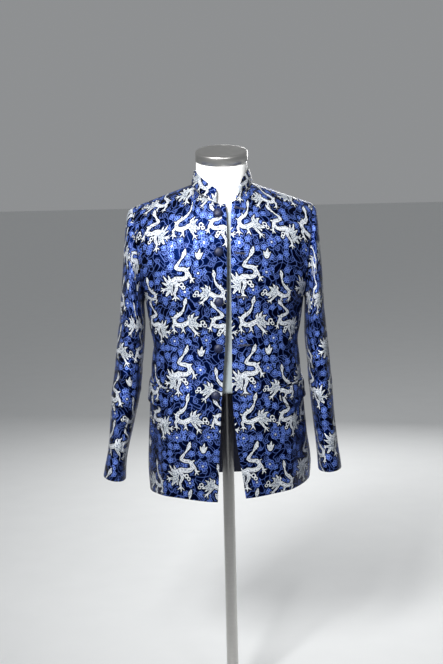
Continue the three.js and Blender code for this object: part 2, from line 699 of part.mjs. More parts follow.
// Neck of the form: ovals that lean forward, from inside the torso to the tilted cap
const neckSections = [
  { z: 1200, middleY: -2, halfWidth: 70, halfDepth: 62, tilt: 0 },
  { z: 1236, middleY: -4, halfWidth: 66, halfDepth: 60, tilt: 0.1 },
  { z: 1262, middleY: -6, halfWidth: 62, halfDepth: 58, tilt: 0.35 },
  { z: 1290, middleY: -8, halfWidth: 60, halfDepth: 58, tilt: 0.75 },
  { z: 1326, middleY: -10, halfWidth: 60, halfDepth: 58, tilt: 1 },
];
function neckRing(section, lift, grow) {
  return Array.from({ length: neckSides }, (_, j) => {
    const angle = (j / neckSides) * Math.PI * 2;
    const y = -(section.halfDepth + grow) * Math.cos(angle);
    const slope = neckTilt * section.tilt;
    return new THREE.Vector3(
      (section.halfWidth + grow) * Math.sin(angle),
      section.middleY + y * Math.cos(slope) - lift * Math.sin(slope),
      section.z + y * Math.sin(slope) + lift * Math.cos(slope),
    );
  });
}

const wasm = await Module();
wasm.setup();

function solidOf(geometry) {
  const bare = geometry.clone();
  bare.deleteAttribute('normal');
  bare.deleteAttribute('uv');
  const merged = mergeVertices(bare, 1e-4);
  return new wasm.Manifold(new wasm.Mesh({
    numProp: 3,
    vertProperties: new Float32Array(merged.attributes.position.array),
    triVerts: new Uint32Array(merged.index.array),
  }));
}

function geometryOf(solid) {
  const mesh = solid.getMesh();
  const geometry = new THREE.BufferGeometry();
  geometry.setAttribute('position', new THREE.BufferAttribute(mesh.vertProperties, 3));
  geometry.setIndex(new THREE.BufferAttribute(mesh.triVerts, 1));
  return geometry;
}

function formGeometry() {
  const bottomLevel = (formBottom - hemHeight) / (underarmHeight - hemHeight);
  const rings = [];
  for (let i = 0; i <= formTorsoRows; i++) rings.push(formRing(mix(bottomLevel, 1, i / formTorsoRows)));
  for (let i = 1; i <= formChestRows; i++) rings.push(formRing(mix(1, formTopLevel, i / formChestRows)));
  for (const point of rings[0]) point.z = formBottom;
  const torso = solidOf(loftGeometry(rings, true));
  const neck = solidOf(loftGeometry(neckSections.map((section) => neckRing(section, 0, 0)), false));
  return geometryOf(torso.add(neck));
}

function capGeometry() {
  const top = neckSections.at(-1);
  const layers = [
    { lift: seamGap, grow: capOverhang },
    { lift: capThickness - capBevel, grow: capOverhang },
    { lift: capThickness, grow: capOverhang - capBevel },
  ];
  return loftGeometry(layers.map(({ lift, grow }) => neckRing(top, lift, grow)), false);
}

const silk = { color: 0x1b2f7a, roughness: 0.42, metalness: 0.05 };
const coveredButton = { color: 0x0b1238, roughness: 0.5, metalness: 0.05 };
const whiteForm = { color: 0xe8e8e4, roughness: 0.45, metalness: 0 };
const steel = { color: 0xb9b9b6, roughness: 0.3, metalness: 1 };

const jacket = new THREE.Group();
function add(name, geometry, finish) {
  const mesh = new THREE.Mesh(geometry, new THREE.MeshStandardMaterial(finish));
  mesh.name = name;
  jacket.add(mesh);
  return mesh;
}

const fronts = {};
for (const [side, name] of [[RIGHT, 'right'], [LEFT, 'left']]) {
  fronts[side] = add(`front_${name}`, frontGeometry(side), silk);
  add(`sleeve_upper_${name}`, sleeveGeometry(side, -undersleeveTurn, undersleeveTurn, upperSleeveColumns), silk);
  add(`sleeve_under_${name}`, sleeveGeometry(side, undersleeveTurn, 360 - undersleeveTurn, underSleeveColumns), silk);
  add(`flap_${name}`, flapGeometry(side, fronts[side]), silk);
}
add('back', backGeometry(), silk);
add('collar', collarGeometry(), silk);
buttons.forEach((place, i) => {
  placeButton(add(`button_${i + 1}`, buttonGeometry(), coveredButton), place, fronts[RIGHT]);
});

add('form', formGeometry(), whiteForm);
add('neck_cap', capGeometry(), steel);
const poleLength = formBottom - baseThickness - 2 * seamGap;
const pole = add('pole', new THREE.CylinderGeometry(poleRadius, poleRadius, poleLength, poleSides), steel);
pole.rotation.x = Math.PI / 2;
pole.position.z = baseThickness + seamGap + poleLength / 2;
const base = add('base', new THREE.LatheGeometry([
  new THREE.Vector2(0, 0),
  new THREE.Vector2(baseRadius, 0),
  new THREE.Vector2(baseRadius, baseThickness - baseBevel),
  new THREE.Vector2(baseRadius - baseBevel, baseThickness),
  new THREE.Vector2(0, baseThickness),
], baseSides), steel);
base.rotation.x = Math.PI / 2;

export default jacket;
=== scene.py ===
import math
from functools import lru_cache

import bmesh
import bpy
from mathutils import Matrix, Vector


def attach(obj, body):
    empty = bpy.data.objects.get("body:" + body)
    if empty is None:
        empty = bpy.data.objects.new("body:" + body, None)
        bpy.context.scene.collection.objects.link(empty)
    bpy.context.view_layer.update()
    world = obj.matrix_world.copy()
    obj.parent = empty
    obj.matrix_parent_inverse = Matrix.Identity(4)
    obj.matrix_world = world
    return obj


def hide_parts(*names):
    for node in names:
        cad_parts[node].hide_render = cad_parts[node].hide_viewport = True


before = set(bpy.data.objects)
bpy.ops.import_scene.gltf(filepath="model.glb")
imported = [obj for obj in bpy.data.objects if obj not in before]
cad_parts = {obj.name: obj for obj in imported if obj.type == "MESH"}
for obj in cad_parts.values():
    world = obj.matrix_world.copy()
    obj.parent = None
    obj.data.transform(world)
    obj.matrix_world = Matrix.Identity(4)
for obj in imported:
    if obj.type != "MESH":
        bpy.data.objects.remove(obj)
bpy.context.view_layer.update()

# Camera, floor and lamps
# The camera looks a little down at the open fronts, as the photograph does, and leans 1.3 degrees.
# The floor is plain and pale, under soft lamps in an evenly lit room.
camera_data = bpy.data.cameras.new("camera")
camera_data.lens = 68.3
camera = bpy.data.objects.new("camera", camera_data)
camera.location = (-0.009, -2.9708, 1.3375)
lean = Matrix.Rotation(math.radians(82), 4, "X") @ Matrix.Rotation(math.radians(-1.3), 4, "Z")
camera.rotation_euler = lean.to_euler()
bpy.context.scene.collection.objects.link(camera)
bpy.context.scene.camera = camera


def soft_lamp(name, place, aim, size, watts, spread=180):
    lamp = bpy.data.lights.new(name, "AREA")
    lamp.shape, lamp.size, lamp.size_y = "RECTANGLE", size[0], size[1]
    lamp.energy, lamp.spread = watts, math.radians(spread)
    holder = bpy.data.objects.new(name, lamp)
    holder.location = place
    holder.rotation_euler = (Vector(aim) - Vector(place)).to_track_quat("-Z", "Y").to_euler()
    holder.visible_camera = False
    bpy.context.scene.collection.objects.link(holder)


soft_lamp("key", (-0.8, -2.1, 2.3), (-0.02, -0.1, 1.32), (0.7, 0.8), 22, 65)
soft_lamp("fill", (1.0, -2.6, 1.95), (0.06, 0, 1.15), (0.6, 0.6), 6, 120)
soft_lamp("back", (0.6, 2.8, 1.7), (0, 0, 1.0), (1.2, 1.0), 38)

world = bpy.data.worlds.new("studio")
world.use_nodes = True
world.node_tree.nodes["Background"].inputs["Color"].default_value = (0.8, 0.82, 0.84, 1)
world.node_tree.nodes["Background"].inputs["Strength"].default_value = 0.34
bpy.context.scene.world = world
bpy.context.scene.view_settings.view_transform = "Standard"


class Tone:
    """A socket of a material, so that sums over the surface are written as plain sums."""

    def __init__(self, nodes, socket):
        self.nodes, self.socket = nodes, socket

    def make(self, kind, settings=None, inputs=None, output=0):
        node = self.nodes.new(kind)
        for name, value in (settings or {}).items():
            setattr(node, name, value)
        for name, value in (inputs or {}).items():
            if isinstance(value, Tone):
                self.nodes.id_data.links.new(node.inputs[name], value.socket)
            else:
                node.inputs[name].default_value = value
        return Tone(self.nodes, node.outputs[output])

    def sum_of(self, operation, *values):
        return self.make("ShaderNodeMath", {"operation": operation}, dict(enumerate(values)))

    def vector(self, operation, *values):
        """A sum of places, or the plain number that a length, distance or dot product gives."""
        output = "Value" if operation in ("LENGTH", "DISTANCE", "DOT_PRODUCT") else "Vector"
        return self.make("ShaderNodeVectorMath", {"operation": operation}, dict(enumerate(values)), output)

    def parts(self):
        """The three numbers of a place."""
        split = self.make("ShaderNodeSeparateXYZ", None, {0: self}).socket.node
        return [Tone(self.nodes, socket) for socket in split.outputs]

    def __add__(self, other):
        return self.sum_of("ADD", self, other)

    def __sub__(self, other):
        return self.sum_of("SUBTRACT", self, other)

    def __rsub__(self, other):
        return self.sum_of("SUBTRACT", other, self)

    def __mul__(self, other):
        return self.sum_of("MULTIPLY", self, other)

    def __abs__(self):
        return self.sum_of("ABSOLUTE", self)

    __radd__, __rmul__ = __add__, __mul__

    def under(self, limit, soft):
        """1 where this is under the limit, fading to 0 over a soft edge."""
        edges = {"From Min": limit + soft / 2, "From Max": limit - soft / 2}
        return self.make("ShaderNodeMapRange", None, {"Value": self, **edges})

    def blend(self, first, second):
        """The first colour where this is 0, and the second where it is 1."""
        return self.make("ShaderNodeMix", {"data_type": "RGBA"}, {0: self, 6: first, 7: second}, 2)

    def noise(self, place, scale, detail=1.0, output=0):
        inputs = {"Vector": place, "Scale": scale, "Detail": detail}
        return self.make("ShaderNodeTexNoise", None, inputs, output)

    def bump(self, distance, strength):
        inputs = {"Height": self, "Distance": distance, "Strength": strength}
        return self.make("ShaderNodeBump", None, inputs)


def finish_of(name, **constants):
    """A new material with its Principled shader's fixed values set, and a start for its sums."""
    material = bpy.data.materials.new(name)
    material.use_nodes = True
    shader = material.node_tree.nodes["Principled BSDF"]
    for socket, value in constants.items():
        shader.inputs[socket.replace("_", " ")].default_value = value
    return material, shader, Tone(material.node_tree.nodes, None)


def wire(material, shader, **tones):
    for socket, tone in tones.items():
        material.node_tree.links.new(shader.inputs[socket.replace("_", " ")], tone.socket)


def shown(name, shape, *finishes):
    """A finished object at the origin, made of a bmesh."""
    mesh = bpy.data.meshes.new(name)
    shape.to_mesh(mesh)
    shape.free()
    for finish in finishes:
        mesh.materials.append(finish)
    mesh.shade_smooth()
    piece = bpy.data.objects.new(name, mesh)
    bpy.context.scene.collection.objects.link(piece)
    return piece


card, card_shader, tone = finish_of("pale_card", Roughness=0.8)
place = tone.make("ShaderNodeTexCoord", output="Object")
speck = tone.noise(place, 9.0, 3.0)
wire(card, card_shader, Base_Color=speck.blend((0.76, 0.77, 0.77, 1), (0.80, 0.81, 0.81, 1)))

ground_plane = bmesh.new()
bmesh.ops.create_grid(ground_plane, x_segments=8, y_segments=8, size=30)
floor = shown("floor", ground_plane, card)

# The two fronts
# Cut in one piece from hem to shoulder, each with a dart above its pocket, turned in at the front
# edge and hem and lined. The wearer's right front (at -X) takes the buttons. Sizes are in mm.

# The silk has a navy satin ground with woven blue flowers and vines, and silver dragons that chase
# a flaming pearl. The drawing repeats every 165 by 226 mm, charted as strokes and petals.
tile = (165.0, 226.0)

# Each line of a dragon runs through points of x, y and half width, in mm about its middle
leaping_dragon = (
    ((-3, 52, 0.3), (-6, 41, 4.6), (-8, 30, 1.5), (-12, 19, 2.8), (-20, 10, 3.8), (-29, 5, 4.2),
     (-34, -4, 4.4), (-30, -13, 4.6), (-20, -16, 5.0), (-9, -13, 5.4), (2, -8, 5.6), (11, -9, 6.6)),
    ((12, -8, 6.0), (21, -14, 4.2), (30, -17, 2.0)), ((13, -14, 3.6), (22, -24, 1.6)),
    ((4, -5, 3.4), (1, 3, 2.4), (4, 10, 0.5)), ((9, -4, 4.0), (9, 6, 2.8), (15, 13, 0.5)),
    ((14, -5, 4.0), (18, 2, 2.6), (25, 5, 0.5)), ((28, -16, 1.3), (30, -11, 1.2)),
    ((3, -12, 4.0), (10, -23, 3.0), (17, -32, 2.2)), ((17, -32, 1.9), (27, -34, 0.5)),
    ((17, -32, 1.9), (25, -41, 0.5)), ((17, -32, 1.9), (14, -43, 0.5)),
    ((-31, -10, 4.0), (-38, -18, 2.8), (-35, -27, 2.2)), ((-35, -27, 1.9), (-43, -31, 0.5)),
    ((-35, -27, 1.9), (-35, -37, 0.5)), ((-35, -27, 1.9), (-27, -33, 0.5)),
    ((-15, -17, 3.4), (-12, -26, 2.2)), ((-12, -26, 1.8), (-18, -34, 0.5)),
    ((-12, -26, 1.8), (-7, -35, 0.5)), ((-24, 8, 2.6), (-26, 16, 0.5)), ((-35, 0, 2.6), (-42, 4, 0.5)),
)
leaping_marks = (((34, -9, 4.4, 1.2), (39, -16, 3.4, 1.1)), (14.0, -9.5, 1.3))
coiling_dragon = (
    ((20, 64, 0.3), (17, 53, 4.6), (10, 41, 1.5), (2, 31, 2.8), (-3, 22, 3.6), (6, 18, 3.8),
     (17, 17, 4.2), (24, 8, 4.4), (20, -2, 4.6), (8, -5, 5.0), (-5, -4, 5.2), (-14, -11, 5.4),
     (-18, -22, 6.4)),
    ((-18, -22, 5.6), (-22, -32, 4.4), (-28, -41, 2.0)), ((-15, -27, 3.6), (-15, -40, 1.4)),
    ((-15, -13, 3.8), (-19, -4, 2.8), (-22, 5, 0.5)), ((-18, -16, 4.2), (-27, -6, 2.8), (-34, 5, 0.5)),
    ((-21, -20, 3.8), (-30, -14, 2.4), (-38, -10, 0.5)), ((-4, -12, 3.0), (4, -18, 1.6)),
    ((24, 10, 3.4), (30, 2, 2.4), (33, -6, 2.0)), ((33, -6, 1.8), (41, -5, 0.5)),
    ((33, -6, 1.8), (38, -14, 0.5)), ((33, -6, 1.8), (30, -15, 0.5)),
    ((-23, -26, 3.4), (-34, -27, 2.0)), ((-34, -27, 1.8), (-42, -22, 0.5)),
    ((-34, -27, 1.8), (-43, -30, 0.5)), ((-34, -27, 1.8), (-37, -36, 0.5)),
    ((-6, -9, 4.2), (-2, -24, 3.4), (-8, -36, 2.8), (-6, -46, 2.2)), ((-6, -46, 1.9), (-14, -52, 0.5)),
    ((-6, -46, 1.9), (-6, -57, 0.5)), ((-6, -46, 1.9), (3, -52, 0.5)), ((22, 16, 2.6), (29, 20, 0.5)),
)
coiling_marks = (((9, -18, 4.2, 1.2), (14, -25, 3.4, 1.1)), (-20.0, -23.0, 1.3))
# Middle of each dragon in the repeat, with its turn in degrees, size and mirroring
leaping_places = ((79.6, 64.7, 0, 1.0, 1), (132.5, -94.3, -6, 0.9, -1))
coiling_places = ((57.0, -60.5, 0, 1.0, 1), (159.5, 52.0, 8, 0.9, -1))
pearl_place = (107.6, -17.3)
flower_places = ((120.6, 14.7), (44.6, 11.7), (105.6, -54.3), (73.6, -95.3))
curl_spacing, flower_spacing, bare_share = 24.0, 18.5, 0.5
petal_size, large_petal_size, pearl_radius = 4.7, 8.0, 5.4

navy_dark, navy_light = (0.0003, 0.0015, 0.012, 1), (0.0008, 0.0042, 0.030, 1)
vine_blue, petal_blue = (0.045, 0.080, 0.26, 1), (0.003, 0.020, 0.150, 1)
heart_blue, outline_blue = (0.003, 0.020, 0.21, 1), (0.12, 0.20, 0.52, 1)
eye_white, dragon_silver = (0.70, 0.76, 0.88, 1), (0.51, 0.54, 0.57, 1)
mane_grey, scale_navy = (0.40, 0.44, 0.45, 1), (0.03, 0.04, 0.09, 1)


def nearest_frame(p, places):
    """The cloth's place as seen from the nearest of the drawing's repeats, in mm."""
    best, best_away = None, None
    half = (tile[0] / 2, tile[1] / 2, 1)
    for x, y, turn, size, mirror in places:
        local = p.vector("SUBTRACT", p, (x, y, 0))
        local = p.vector("WRAP", local, half, (-half[0], -half[1], -1))
        away = p.vector("LENGTH", local)
        size_and_turn = {"Scale": (mirror / size, 1 / size, 1), "Rotation": (0, 0, math.radians(turn))}
        local = p.make("ShaderNodeMapping", None, {"Vector": local, **size_and_turn})
        if best is None:
            best, best_away = local, away
        else:
            closer = p.sum_of("LESS_THAN", away, best_away)
            mixed = {0: closer, 4: best, 5: local}
            best = p.make("ShaderNodeMix", {"data_type": "VECTOR"}, mixed, 1)
            best_away = p.sum_of("MINIMUM", away, best_away)
    return best


def rounded(points):
    """A line with a middle point added in each span, so that it bends more softly."""
    if len(points) < 4:
        return points
    line = [points[0]]
    for i in range(len(points) - 1):
        before, after = points[max(i - 1, 0)], points[min(i + 2, len(points) - 1)]
        here, there = points[i], points[i + 1]
        line += [tuple((9 * (here[k] + there[k]) - before[k] - after[k]) / 16 for k in range(3)), there]
    return line


def stroked(p, lines):
    """How far the cloth's place is outside a drawing of tapered lines, in mm."""
    least = None
    spans = [span for line in map(rounded, lines) for span in zip(line, line[1:])]
    for (x0, y0, r0), (x1, y1, r1) in spans:
        start, step = Vector((x0, y0, 0)), Vector((x1 - x0, y1 - y0, 0))
        narrowing = r0 - r1 or 0.01
        shift = r0 / narrowing
        e = step / step.length_squared
        begin = start.dot(e)
        ends = {"From Min": begin, "From Max": begin + 1, "To Min": -shift, "To Max": 1 - shift}
        reach = p.make("ShaderNodeMapRange", None, {"Value": p.vector("DOT_PRODUCT", p, e), **ends})
        both_ways = p.make("ShaderNodeCombineXYZ", None, {"X": reach, "Y": reach})
        beside = p.vector("MULTIPLY_ADD", both_ways, -step, p)
        away = p.vector("DISTANCE", beside, start + step * shift)
        away = p.sum_of("MULTIPLY_ADD", reach, narrowing, away)
        least = away if least is None else p.sum_of("MINIMUM", least, away)
    return least


def petals(p, count, size, turn):
    """How far the cloth's place is from the middle of the nearest round petal, and of the flower."""
    x, y, _ = p.parts()
    angle = p.sum_of("PINGPONG", p.sum_of("ARCTAN2", y, x) + turn, math.pi / count)
    radius = p.vector("LENGTH", p)
    reach = p.sum_of("COSINE", angle) * (-2 * size) + radius
    return p.sum_of("SQRT", p.sum_of("MULTIPLY_ADD", radius, reach, size * size)), radius


def brocade(name):
    cloth, shader, tone = finish_of(name, Specular_IOR_Level=0.25)
    metres = tone.make("ShaderNodeUVMap", {"uv_map": "grain"})
    p = metres.vector("MULTIPLY", metres, (1000, 1000, 0))

    # Winding stems and curled tendrils
    across, up, _ = p.parts()
    stem = p.sum_of("SINE", up * 0.13) * 6.5 + p.noise(p, 0.03) * 34.0 + across
    stem = abs(p.sum_of("PINGPONG", stem, 15.0) - 7.5)
    branch = p.sum_of("SINE", across * 0.17) * 5.0 + p.noise(p, 0.025) * 40.0 + up
    branch = abs(p.sum_of("PINGPONG", branch, 17.0) - 6.0)
    curls = p.make("ShaderNodeTexVoronoi", {"voronoi_dimensions": "2D"},
                   {"Vector": p, "Scale": 1 / curl_spacing, "Randomness": 0.8}, "Position")
    from_curl = p.vector("SUBTRACT", p, curls)
    curl_across, curl_up, _ = from_curl.parts()
    curl_away = p.vector("LENGTH", from_curl)
    winding = p.sum_of("ARCTAN2", curl_up, curl_across) * (4.4 / math.tau) + curl_away
    curl = p.sum_of("MAXIMUM", p.sum_of("PINGPONG", winding, 2.2) - 0.2, curl_away - 6.4)
    tendril = p.sum_of("MINIMUM", p.sum_of("MINIMUM", stem, branch), curl)
    vine = tendril.under(0.7, 0.5)

    # Small flowers of five round petals, scattered over the ground
    cells = p.make("ShaderNodeTexVoronoi", {"voronoi_dimensions": "2D"},
                   {"Vector": p, "Scale": 1 / flower_spacing, "Randomness": 0.62}, "Position")
    chance = Tone(p.nodes, cells.socket.node.outputs["Color"]).parts()[0]
    from_cell = p.vector("SUBTRACT", p, cells)
    from_cell = p.vector("MULTIPLY", from_cell, chance * 0.3 + 0.8)
    petal, radius = petals(from_cell, 5, petal_size, chance * 6.28)
    eye = radius.under(1.6, 0.6) * p.sum_of("GREATER_THAN", chance, bare_share)

    # Large flowers at their set places
    flower_frame = nearest_frame(p, tuple((x, y, 0, 1, 1) for x, y in flower_places))
    big_petal, big_radius = petals(flower_frame, 6, large_petal_size, 0.3)
    big_eye = big_radius.under(2.2, 0.8)
    big_ground = big_radius.under(14.5, 1.0)
    bare = p.sum_of("MAXIMUM", big_ground, p.sum_of("LESS_THAN", chance, bare_share))
    petal = p.sum_of("MINIMUM", petal + bare * 9, big_petal - 0.6)
    fill = petal.under(2.9, 0.6)
    line = abs(petal - 2.6).under(0.52, 0.4)
    dot = petal.under(1.2, 0.6)

    # Silver dragons and the pearl
    frayed = p.vector("MULTIPLY_ADD", p.noise(p, 0.26, 1.0, 1), (3.4, 3.4, 0), p)
    frayed = p.vector("SUBTRACT", frayed, (1.7, 1.7, 0))
    dragon, head = None, None
    for places, lines, (rings, (eye_x, eye_y, eye_hole)) in (
        (leaping_places, leaping_dragon, leaping_marks), (coiling_places, coiling_dragon, coiling_marks)
    ):
        here = nearest_frame(frayed, places)
        from_eye = p.vector("DISTANCE", here, (eye_x, eye_y, 0))
        edge = stroked(here, lines)
        for x, y, reach, half_width in rings:
            from_ring = p.vector("DISTANCE", here, (x, y, 0)) - reach
            edge = p.sum_of("MINIMUM", edge, abs(from_ring) - half_width)
        edge = p.sum_of("MAXIMUM", edge, eye_hole - from_eye)
        dragon = edge + 0.3 if dragon is None else p.sum_of("MINIMUM", dragon, edge)
        head = from_eye if head is None else p.sum_of("MINIMUM", head, from_eye)
    pearl_frame = nearest_frame(p, ((*pearl_place, 0, 1, 1),))
    flame = stroked(pearl_frame, (
        ((0, 4, 4.4), (3, 17, 0.5)), ((-4, 3, 3.4), (-7, 10, 0.5)), ((4, 3, 3.4), (9, 9, 0.5)),
    ))
    pearl_away = p.vector("LENGTH", pearl_frame)
    pearl = p.sum_of("MINIMUM", pearl_away - pearl_radius, p.sum_of("MAXIMUM", flame, 6.1 - pearl_away))
    silver_edge = p.sum_of("MINIMUM", dragon, pearl)
    silver = silver_edge.under(0, 0.7)
    halo = silver_edge.under(3.0, 1.0)
    stripe = abs(silver_edge + 2.3).under(0.55, 0.5) * 0.55
    mane = head.under(13.0, 5.0)
    spots = p.noise(p, 0.42).under(0.43, 0.06) * mane
    scales = p.noise(p, 0.25).under(0.45, 0.05) * 0.75
    spots = p.sum_of("MAXIMUM", spots, scales) * silver_edge.under(-0.9, 0.6)

    # Colours, from the ground up
    ground = p.noise(p, 0.011, 2.0).blend(navy_dark, navy_light)
    colour = vine.blend(ground, vine_blue)
    colour = fill.blend(colour, petal_blue)
    colour = dot.blend(colour, heart_blue)
    colour = p.sum_of("MAXIMUM", line, eye).blend(colour, outline_blue)
    colour = big_eye.blend(colour, eye_white)
    colour = halo.blend(colour, ground)
    colour = silver.blend(colour, dragon_silver)
    colour = (silver * mane * 0.7).blend(colour, mane_grey)
    colour = (silver * p.sum_of("MAXIMUM", stripe, spots)).blend(colour, scale_navy)

    raised = p.sum_of("MAXIMUM", silver, p.sum_of("MAXIMUM", fill, vine) * 0.75)
    twill = metres.vector("DOT_PRODUCT", metres, (9000, 12000, 0))
    weft = metres.vector("DOT_PRODUCT", metres, (-2600, 9500, 0))
    weave = p.sum_of("SINE", twill) + p.sum_of("SINE", weft) * 0.6
    wire(cloth, shader, Base_Color=colour, Roughness=raised * 0.20 + 0.33,
         Metallic=1.0 - raised * 0.85, Normal=weave.bump(0.00006, 0.5))
    return cloth


silk = brocade("silk_brocade")

lining, lining_shader, tone = finish_of("lining_satin", Sheen_Weight=0.1, Roughness=0.42)
metres = tone.make("ShaderNodeUVMap", {"uv_map": "grain"})
streak = metres.noise(metres.vector("MULTIPLY", metres, (60, 900, 0)), 1.0, 2.0)
rib = metres.vector("DOT_PRODUCT", metres, (7000, 7000, 0))
wire(lining, lining_shader, Base_Color=streak.blend((0.006, 0.009, 0.035, 1), (0.012, 0.017, 0.06, 1)),
     Normal=rib.sum_of("SINE", rib).bump(0.00004, 0.4))

mm = 0.001
right, left = -1, 1
sides = ((right, "right"), (left, "left"))
cloth_thickness, seam_gap = 2.0, 0.3
hem_height, underarm_height, tip_height = 541, 1003, 1220
underarm_half_width, shoulder_half_width = 187, 211
shoulder_drop, arch_start, roundness, ridge = 70, 1080, 0.82, 22
armhole_half_depth, armhole_scoop = 63, 0.12
neck_half_width, neck_front, neck_back = 72, 86, 62

body_heights = (540, 600, 660, 720, 780, 840, 890, 940, 980, 1003, 1080, 1300)
body_half_widths = (188, 190, 188, 185, 182, 177, 175, 179, 184, 187, 195, 211)
front_depths = (125, 126, 126, 124, 121, 117, 115, 117, 120, 122, 121, 121)
back_depths = (122, 122, 120, 116, 109, 102, 99, 103, 109, 113, 118, 118)
side_seam_angles = (103, 103, 102, 101, 100, 98, 96, 94, 91.5, 90, 90, 90)
edge_heights = (535, 590, 685, 790, 895, 1010, 1100, 1170, 1240)
edge_lines = {right: (-27, -23, -18, -11, -2, 4, 7, 8.5, 7), left: (40, 33, 20, 13, 14, 15, 16, 17, 21)}
edge_rolls = {right: (4, 2, 0, 0, 0, 0, 0, 0, 0), left: (3, 2, 1, 1, 1, 3, 5, 7, 8)}
lift_angles = (0, 35, 90, 135, 180)
hem_lifts = {right: (-6, 4, 4, 5, 6), left: (0, 12, 20, 11, 6)}

# Folds of the body: angle round from the front, height, spread, length, slant and reach
body_folds = (
    (100, 575, 15, 95, 0, 13), (66, 655, 13, 120, 4, -5), (82, 905, 20, 26, 0, -4),
    (60, 850, 16, 24, -30, 4), (-82, 900, 20, 24, 0, -4), (-64, 640, 12, 110, -4, -5),
    (-99, 590, 14, 90, 0, 4), (150, 620, 14, 120, 0, 6), (-150, 620, 14, 120, 0, 6),
    (180, 900, 30, 22, 0, -4),
    (48, 585, 6, 70, 3, 2.0), (30, 600, 7, 85, -2, -1.5), (83, 700, 7, 60, 6, 2.2),
    (74, 770, 9, 20, -14, -1.6), (70, 880, 13, 9, -16, 1.8), (64, 925, 11, 10, -20, -1.4),
    (-50, 590, 6, 75, -2, 1.6), (-34, 560, 8, 55, 2, -1.2), (-80, 690, 8, 55, -6, 2.0),
    (-72, 862, 14, 9, 14, 1.6), (-60, 915, 12, 10, 20, -1.3), (-66, 958, 12, 8, 16, 1.2),
    (122, 640, 6, 90, 2, -2.2), (136, 870, 12, 10, -12, 1.6), (160, 925, 14, 9, -8, -1.5),
    (-124, 655, 7, 85, -3, -2.0), (-140, 880, 12, 9, 10, 1.5), (-162, 862, 13, 8, 6, 1.4),
    (172, 700, 8, 110, 0, -1.6), (112, 930, 10, 12, -14, 1.5), (-110, 938, 10, 11, 12, 1.4),
)
# Soft pulls across the chest: side, share across, height, spread, length, slant and reach
chest_pulls = (
    (right, 0.74, 1050, 0.2, 9, 22, -1.6), (right, 0.8, 1086, 0.16, 10, 26, -1.3),
    (right, 0.62, 1024, 0.2, 12, 10, 1.3), (right, 0.55, 1150, 0.16, 18, 20, 1.1),
    (left, 0.76, 1044, 0.2, 9, -20, -1.5), (left, 0.72, 1078, 0.18, 12, -26, 1.4),
    (left, 0.84, 1112, 0.12, 12, -24, -1.3), (left, 0.5, 1160, 0.18, 16, -14, 1.0),
)


def mix(a, b, t):
    return a + (b - a) * t


def signed_power(value, power):
    return math.copysign(abs(value) ** power, value)


def smooth_step(value, low, high):
    t = min(max((value - low) / (high - low), 0), 1)
    return t * t * (3 - 2 * t)


def along(stations, values, at):
    """Smooth curve through values that stand at rising stations."""
    last, i = len(stations) - 1, 0
    while i < last - 1 and at > stations[i + 1]:
        i += 1

    def slope(a, b):
        return (values[b] - values[a]) / (stations[b] - stations[a])

    span = stations[i + 1] - stations[i]
    first, second = slope(max(i - 1, 0), i + 1) * span, slope(i, min(i + 2, last)) * span
    t = min(max((at - stations[i]) / span, 0), 1)
    t2, t3 = t * t, t * t * t
    return (values[i] * (2 * t3 - 3 * t2 + 1) + first * (t3 - 2 * t2 + t)
            + values[i + 1] * (3 * t2 - 2 * t3) + second * (t3 - t2))


def first_where(low, high, test):
    for _ in range(30):
        middle = (low + high) / 2
        low, high = (low, middle) if test(middle) else (middle, high)
    return (low + high) / 2


def fall_to(x):
    return math.hypot(x, ridge) - ridge


shoulder_slope = shoulder_drop / fall_to(shoulder_half_width)
arch_height = tip_height + shoulder_drop - arch_start


@lru_cache(maxsize=None)
def body_row(level):
    """A row round the jacket: 0 is the hem, 1 the underarm and 2 the shoulder seam."""
    climb = max(0, level - 1)
    turn = math.pi * min(climb, 1)
    rise = (1 - math.cos(turn)) / 2
    edge_x = mix(underarm_half_width, shoulder_half_width, rise)
    drop = shoulder_slope * rise
    if level <= 1:
        z = mix(hem_height, underarm_height, level)
    else:
        z = mix(underarm_height, tip_height, rise) + drop * fall_to(edge_x)
    arch = math.sqrt(max(0, 1 - (max(0, z - arch_start) / arch_height) ** 2))
    front = along(body_heights, front_depths, z) * arch
    back = along(body_heights, back_depths, z) * arch
    if level <= 1:
        half = along(body_heights, body_half_widths, z)
        seam = math.radians(along(body_heights, side_seam_angles, z))
        return drop, z, front, back, half, half, seam, seam
    swell = armhole_half_depth * math.sin(turn) * (1 + armhole_scoop * math.cos(turn))
    limit = armhole_half_depth / along(body_heights, front_depths, z)
    shares = [limit if depth < 1e-6 else min(1, swell / depth) for depth in (front, back)]
    ends = [math.acos(share ** (1 / roundness)) for share in shares]
    halves = [edge_x / math.sin(end) ** roundness for end in ends]
    return drop, z, front, back, halves[0], halves[1], ends[0], math.pi - ends[1]


def wrapped(degrees):
    return (degrees + 180) % 360 - 180


def fold_reach(folds, turn, z):
    reach = 0
    for at, height, spread, length, slant, depth in folds:
        aside = wrapped(turn - at) / spread
        if abs(aside) < 3:
            reach += depth * math.exp(-(aside**2) - ((z - height - slant * aside) / length) ** 2)
    return reach


def body_point(level, angle):
    """A point of the jacket's outer face, at an angle round from the centre front."""
    drop, z, front, back, front_half, back_half, _, _ = body_row(level)
    ahead = math.cos(angle) > 0
    x = (front_half if ahead else back_half) * signed_power(math.sin(angle), roundness)
    y = -(front if ahead else back) * signed_power(math.cos(angle), roundness)
    around = wrapped(math.degrees(angle))
    flat = math.hypot(x, y)
    loose = 1 - smooth_step(level, 0.85, 1)
    if loose > 0 and flat > 0:
        push = loose * fold_reach(body_folds, around, z) / flat
        x, y = x * (1 + push), y * (1 + push)
    lift = along(lift_angles, hem_lifts[right if around < 0 else left], abs(around))
    z += lift * max(0, 1 - level / 0.625) ** 2 - drop * fall_to(x)
    return Vector((x, y, z))


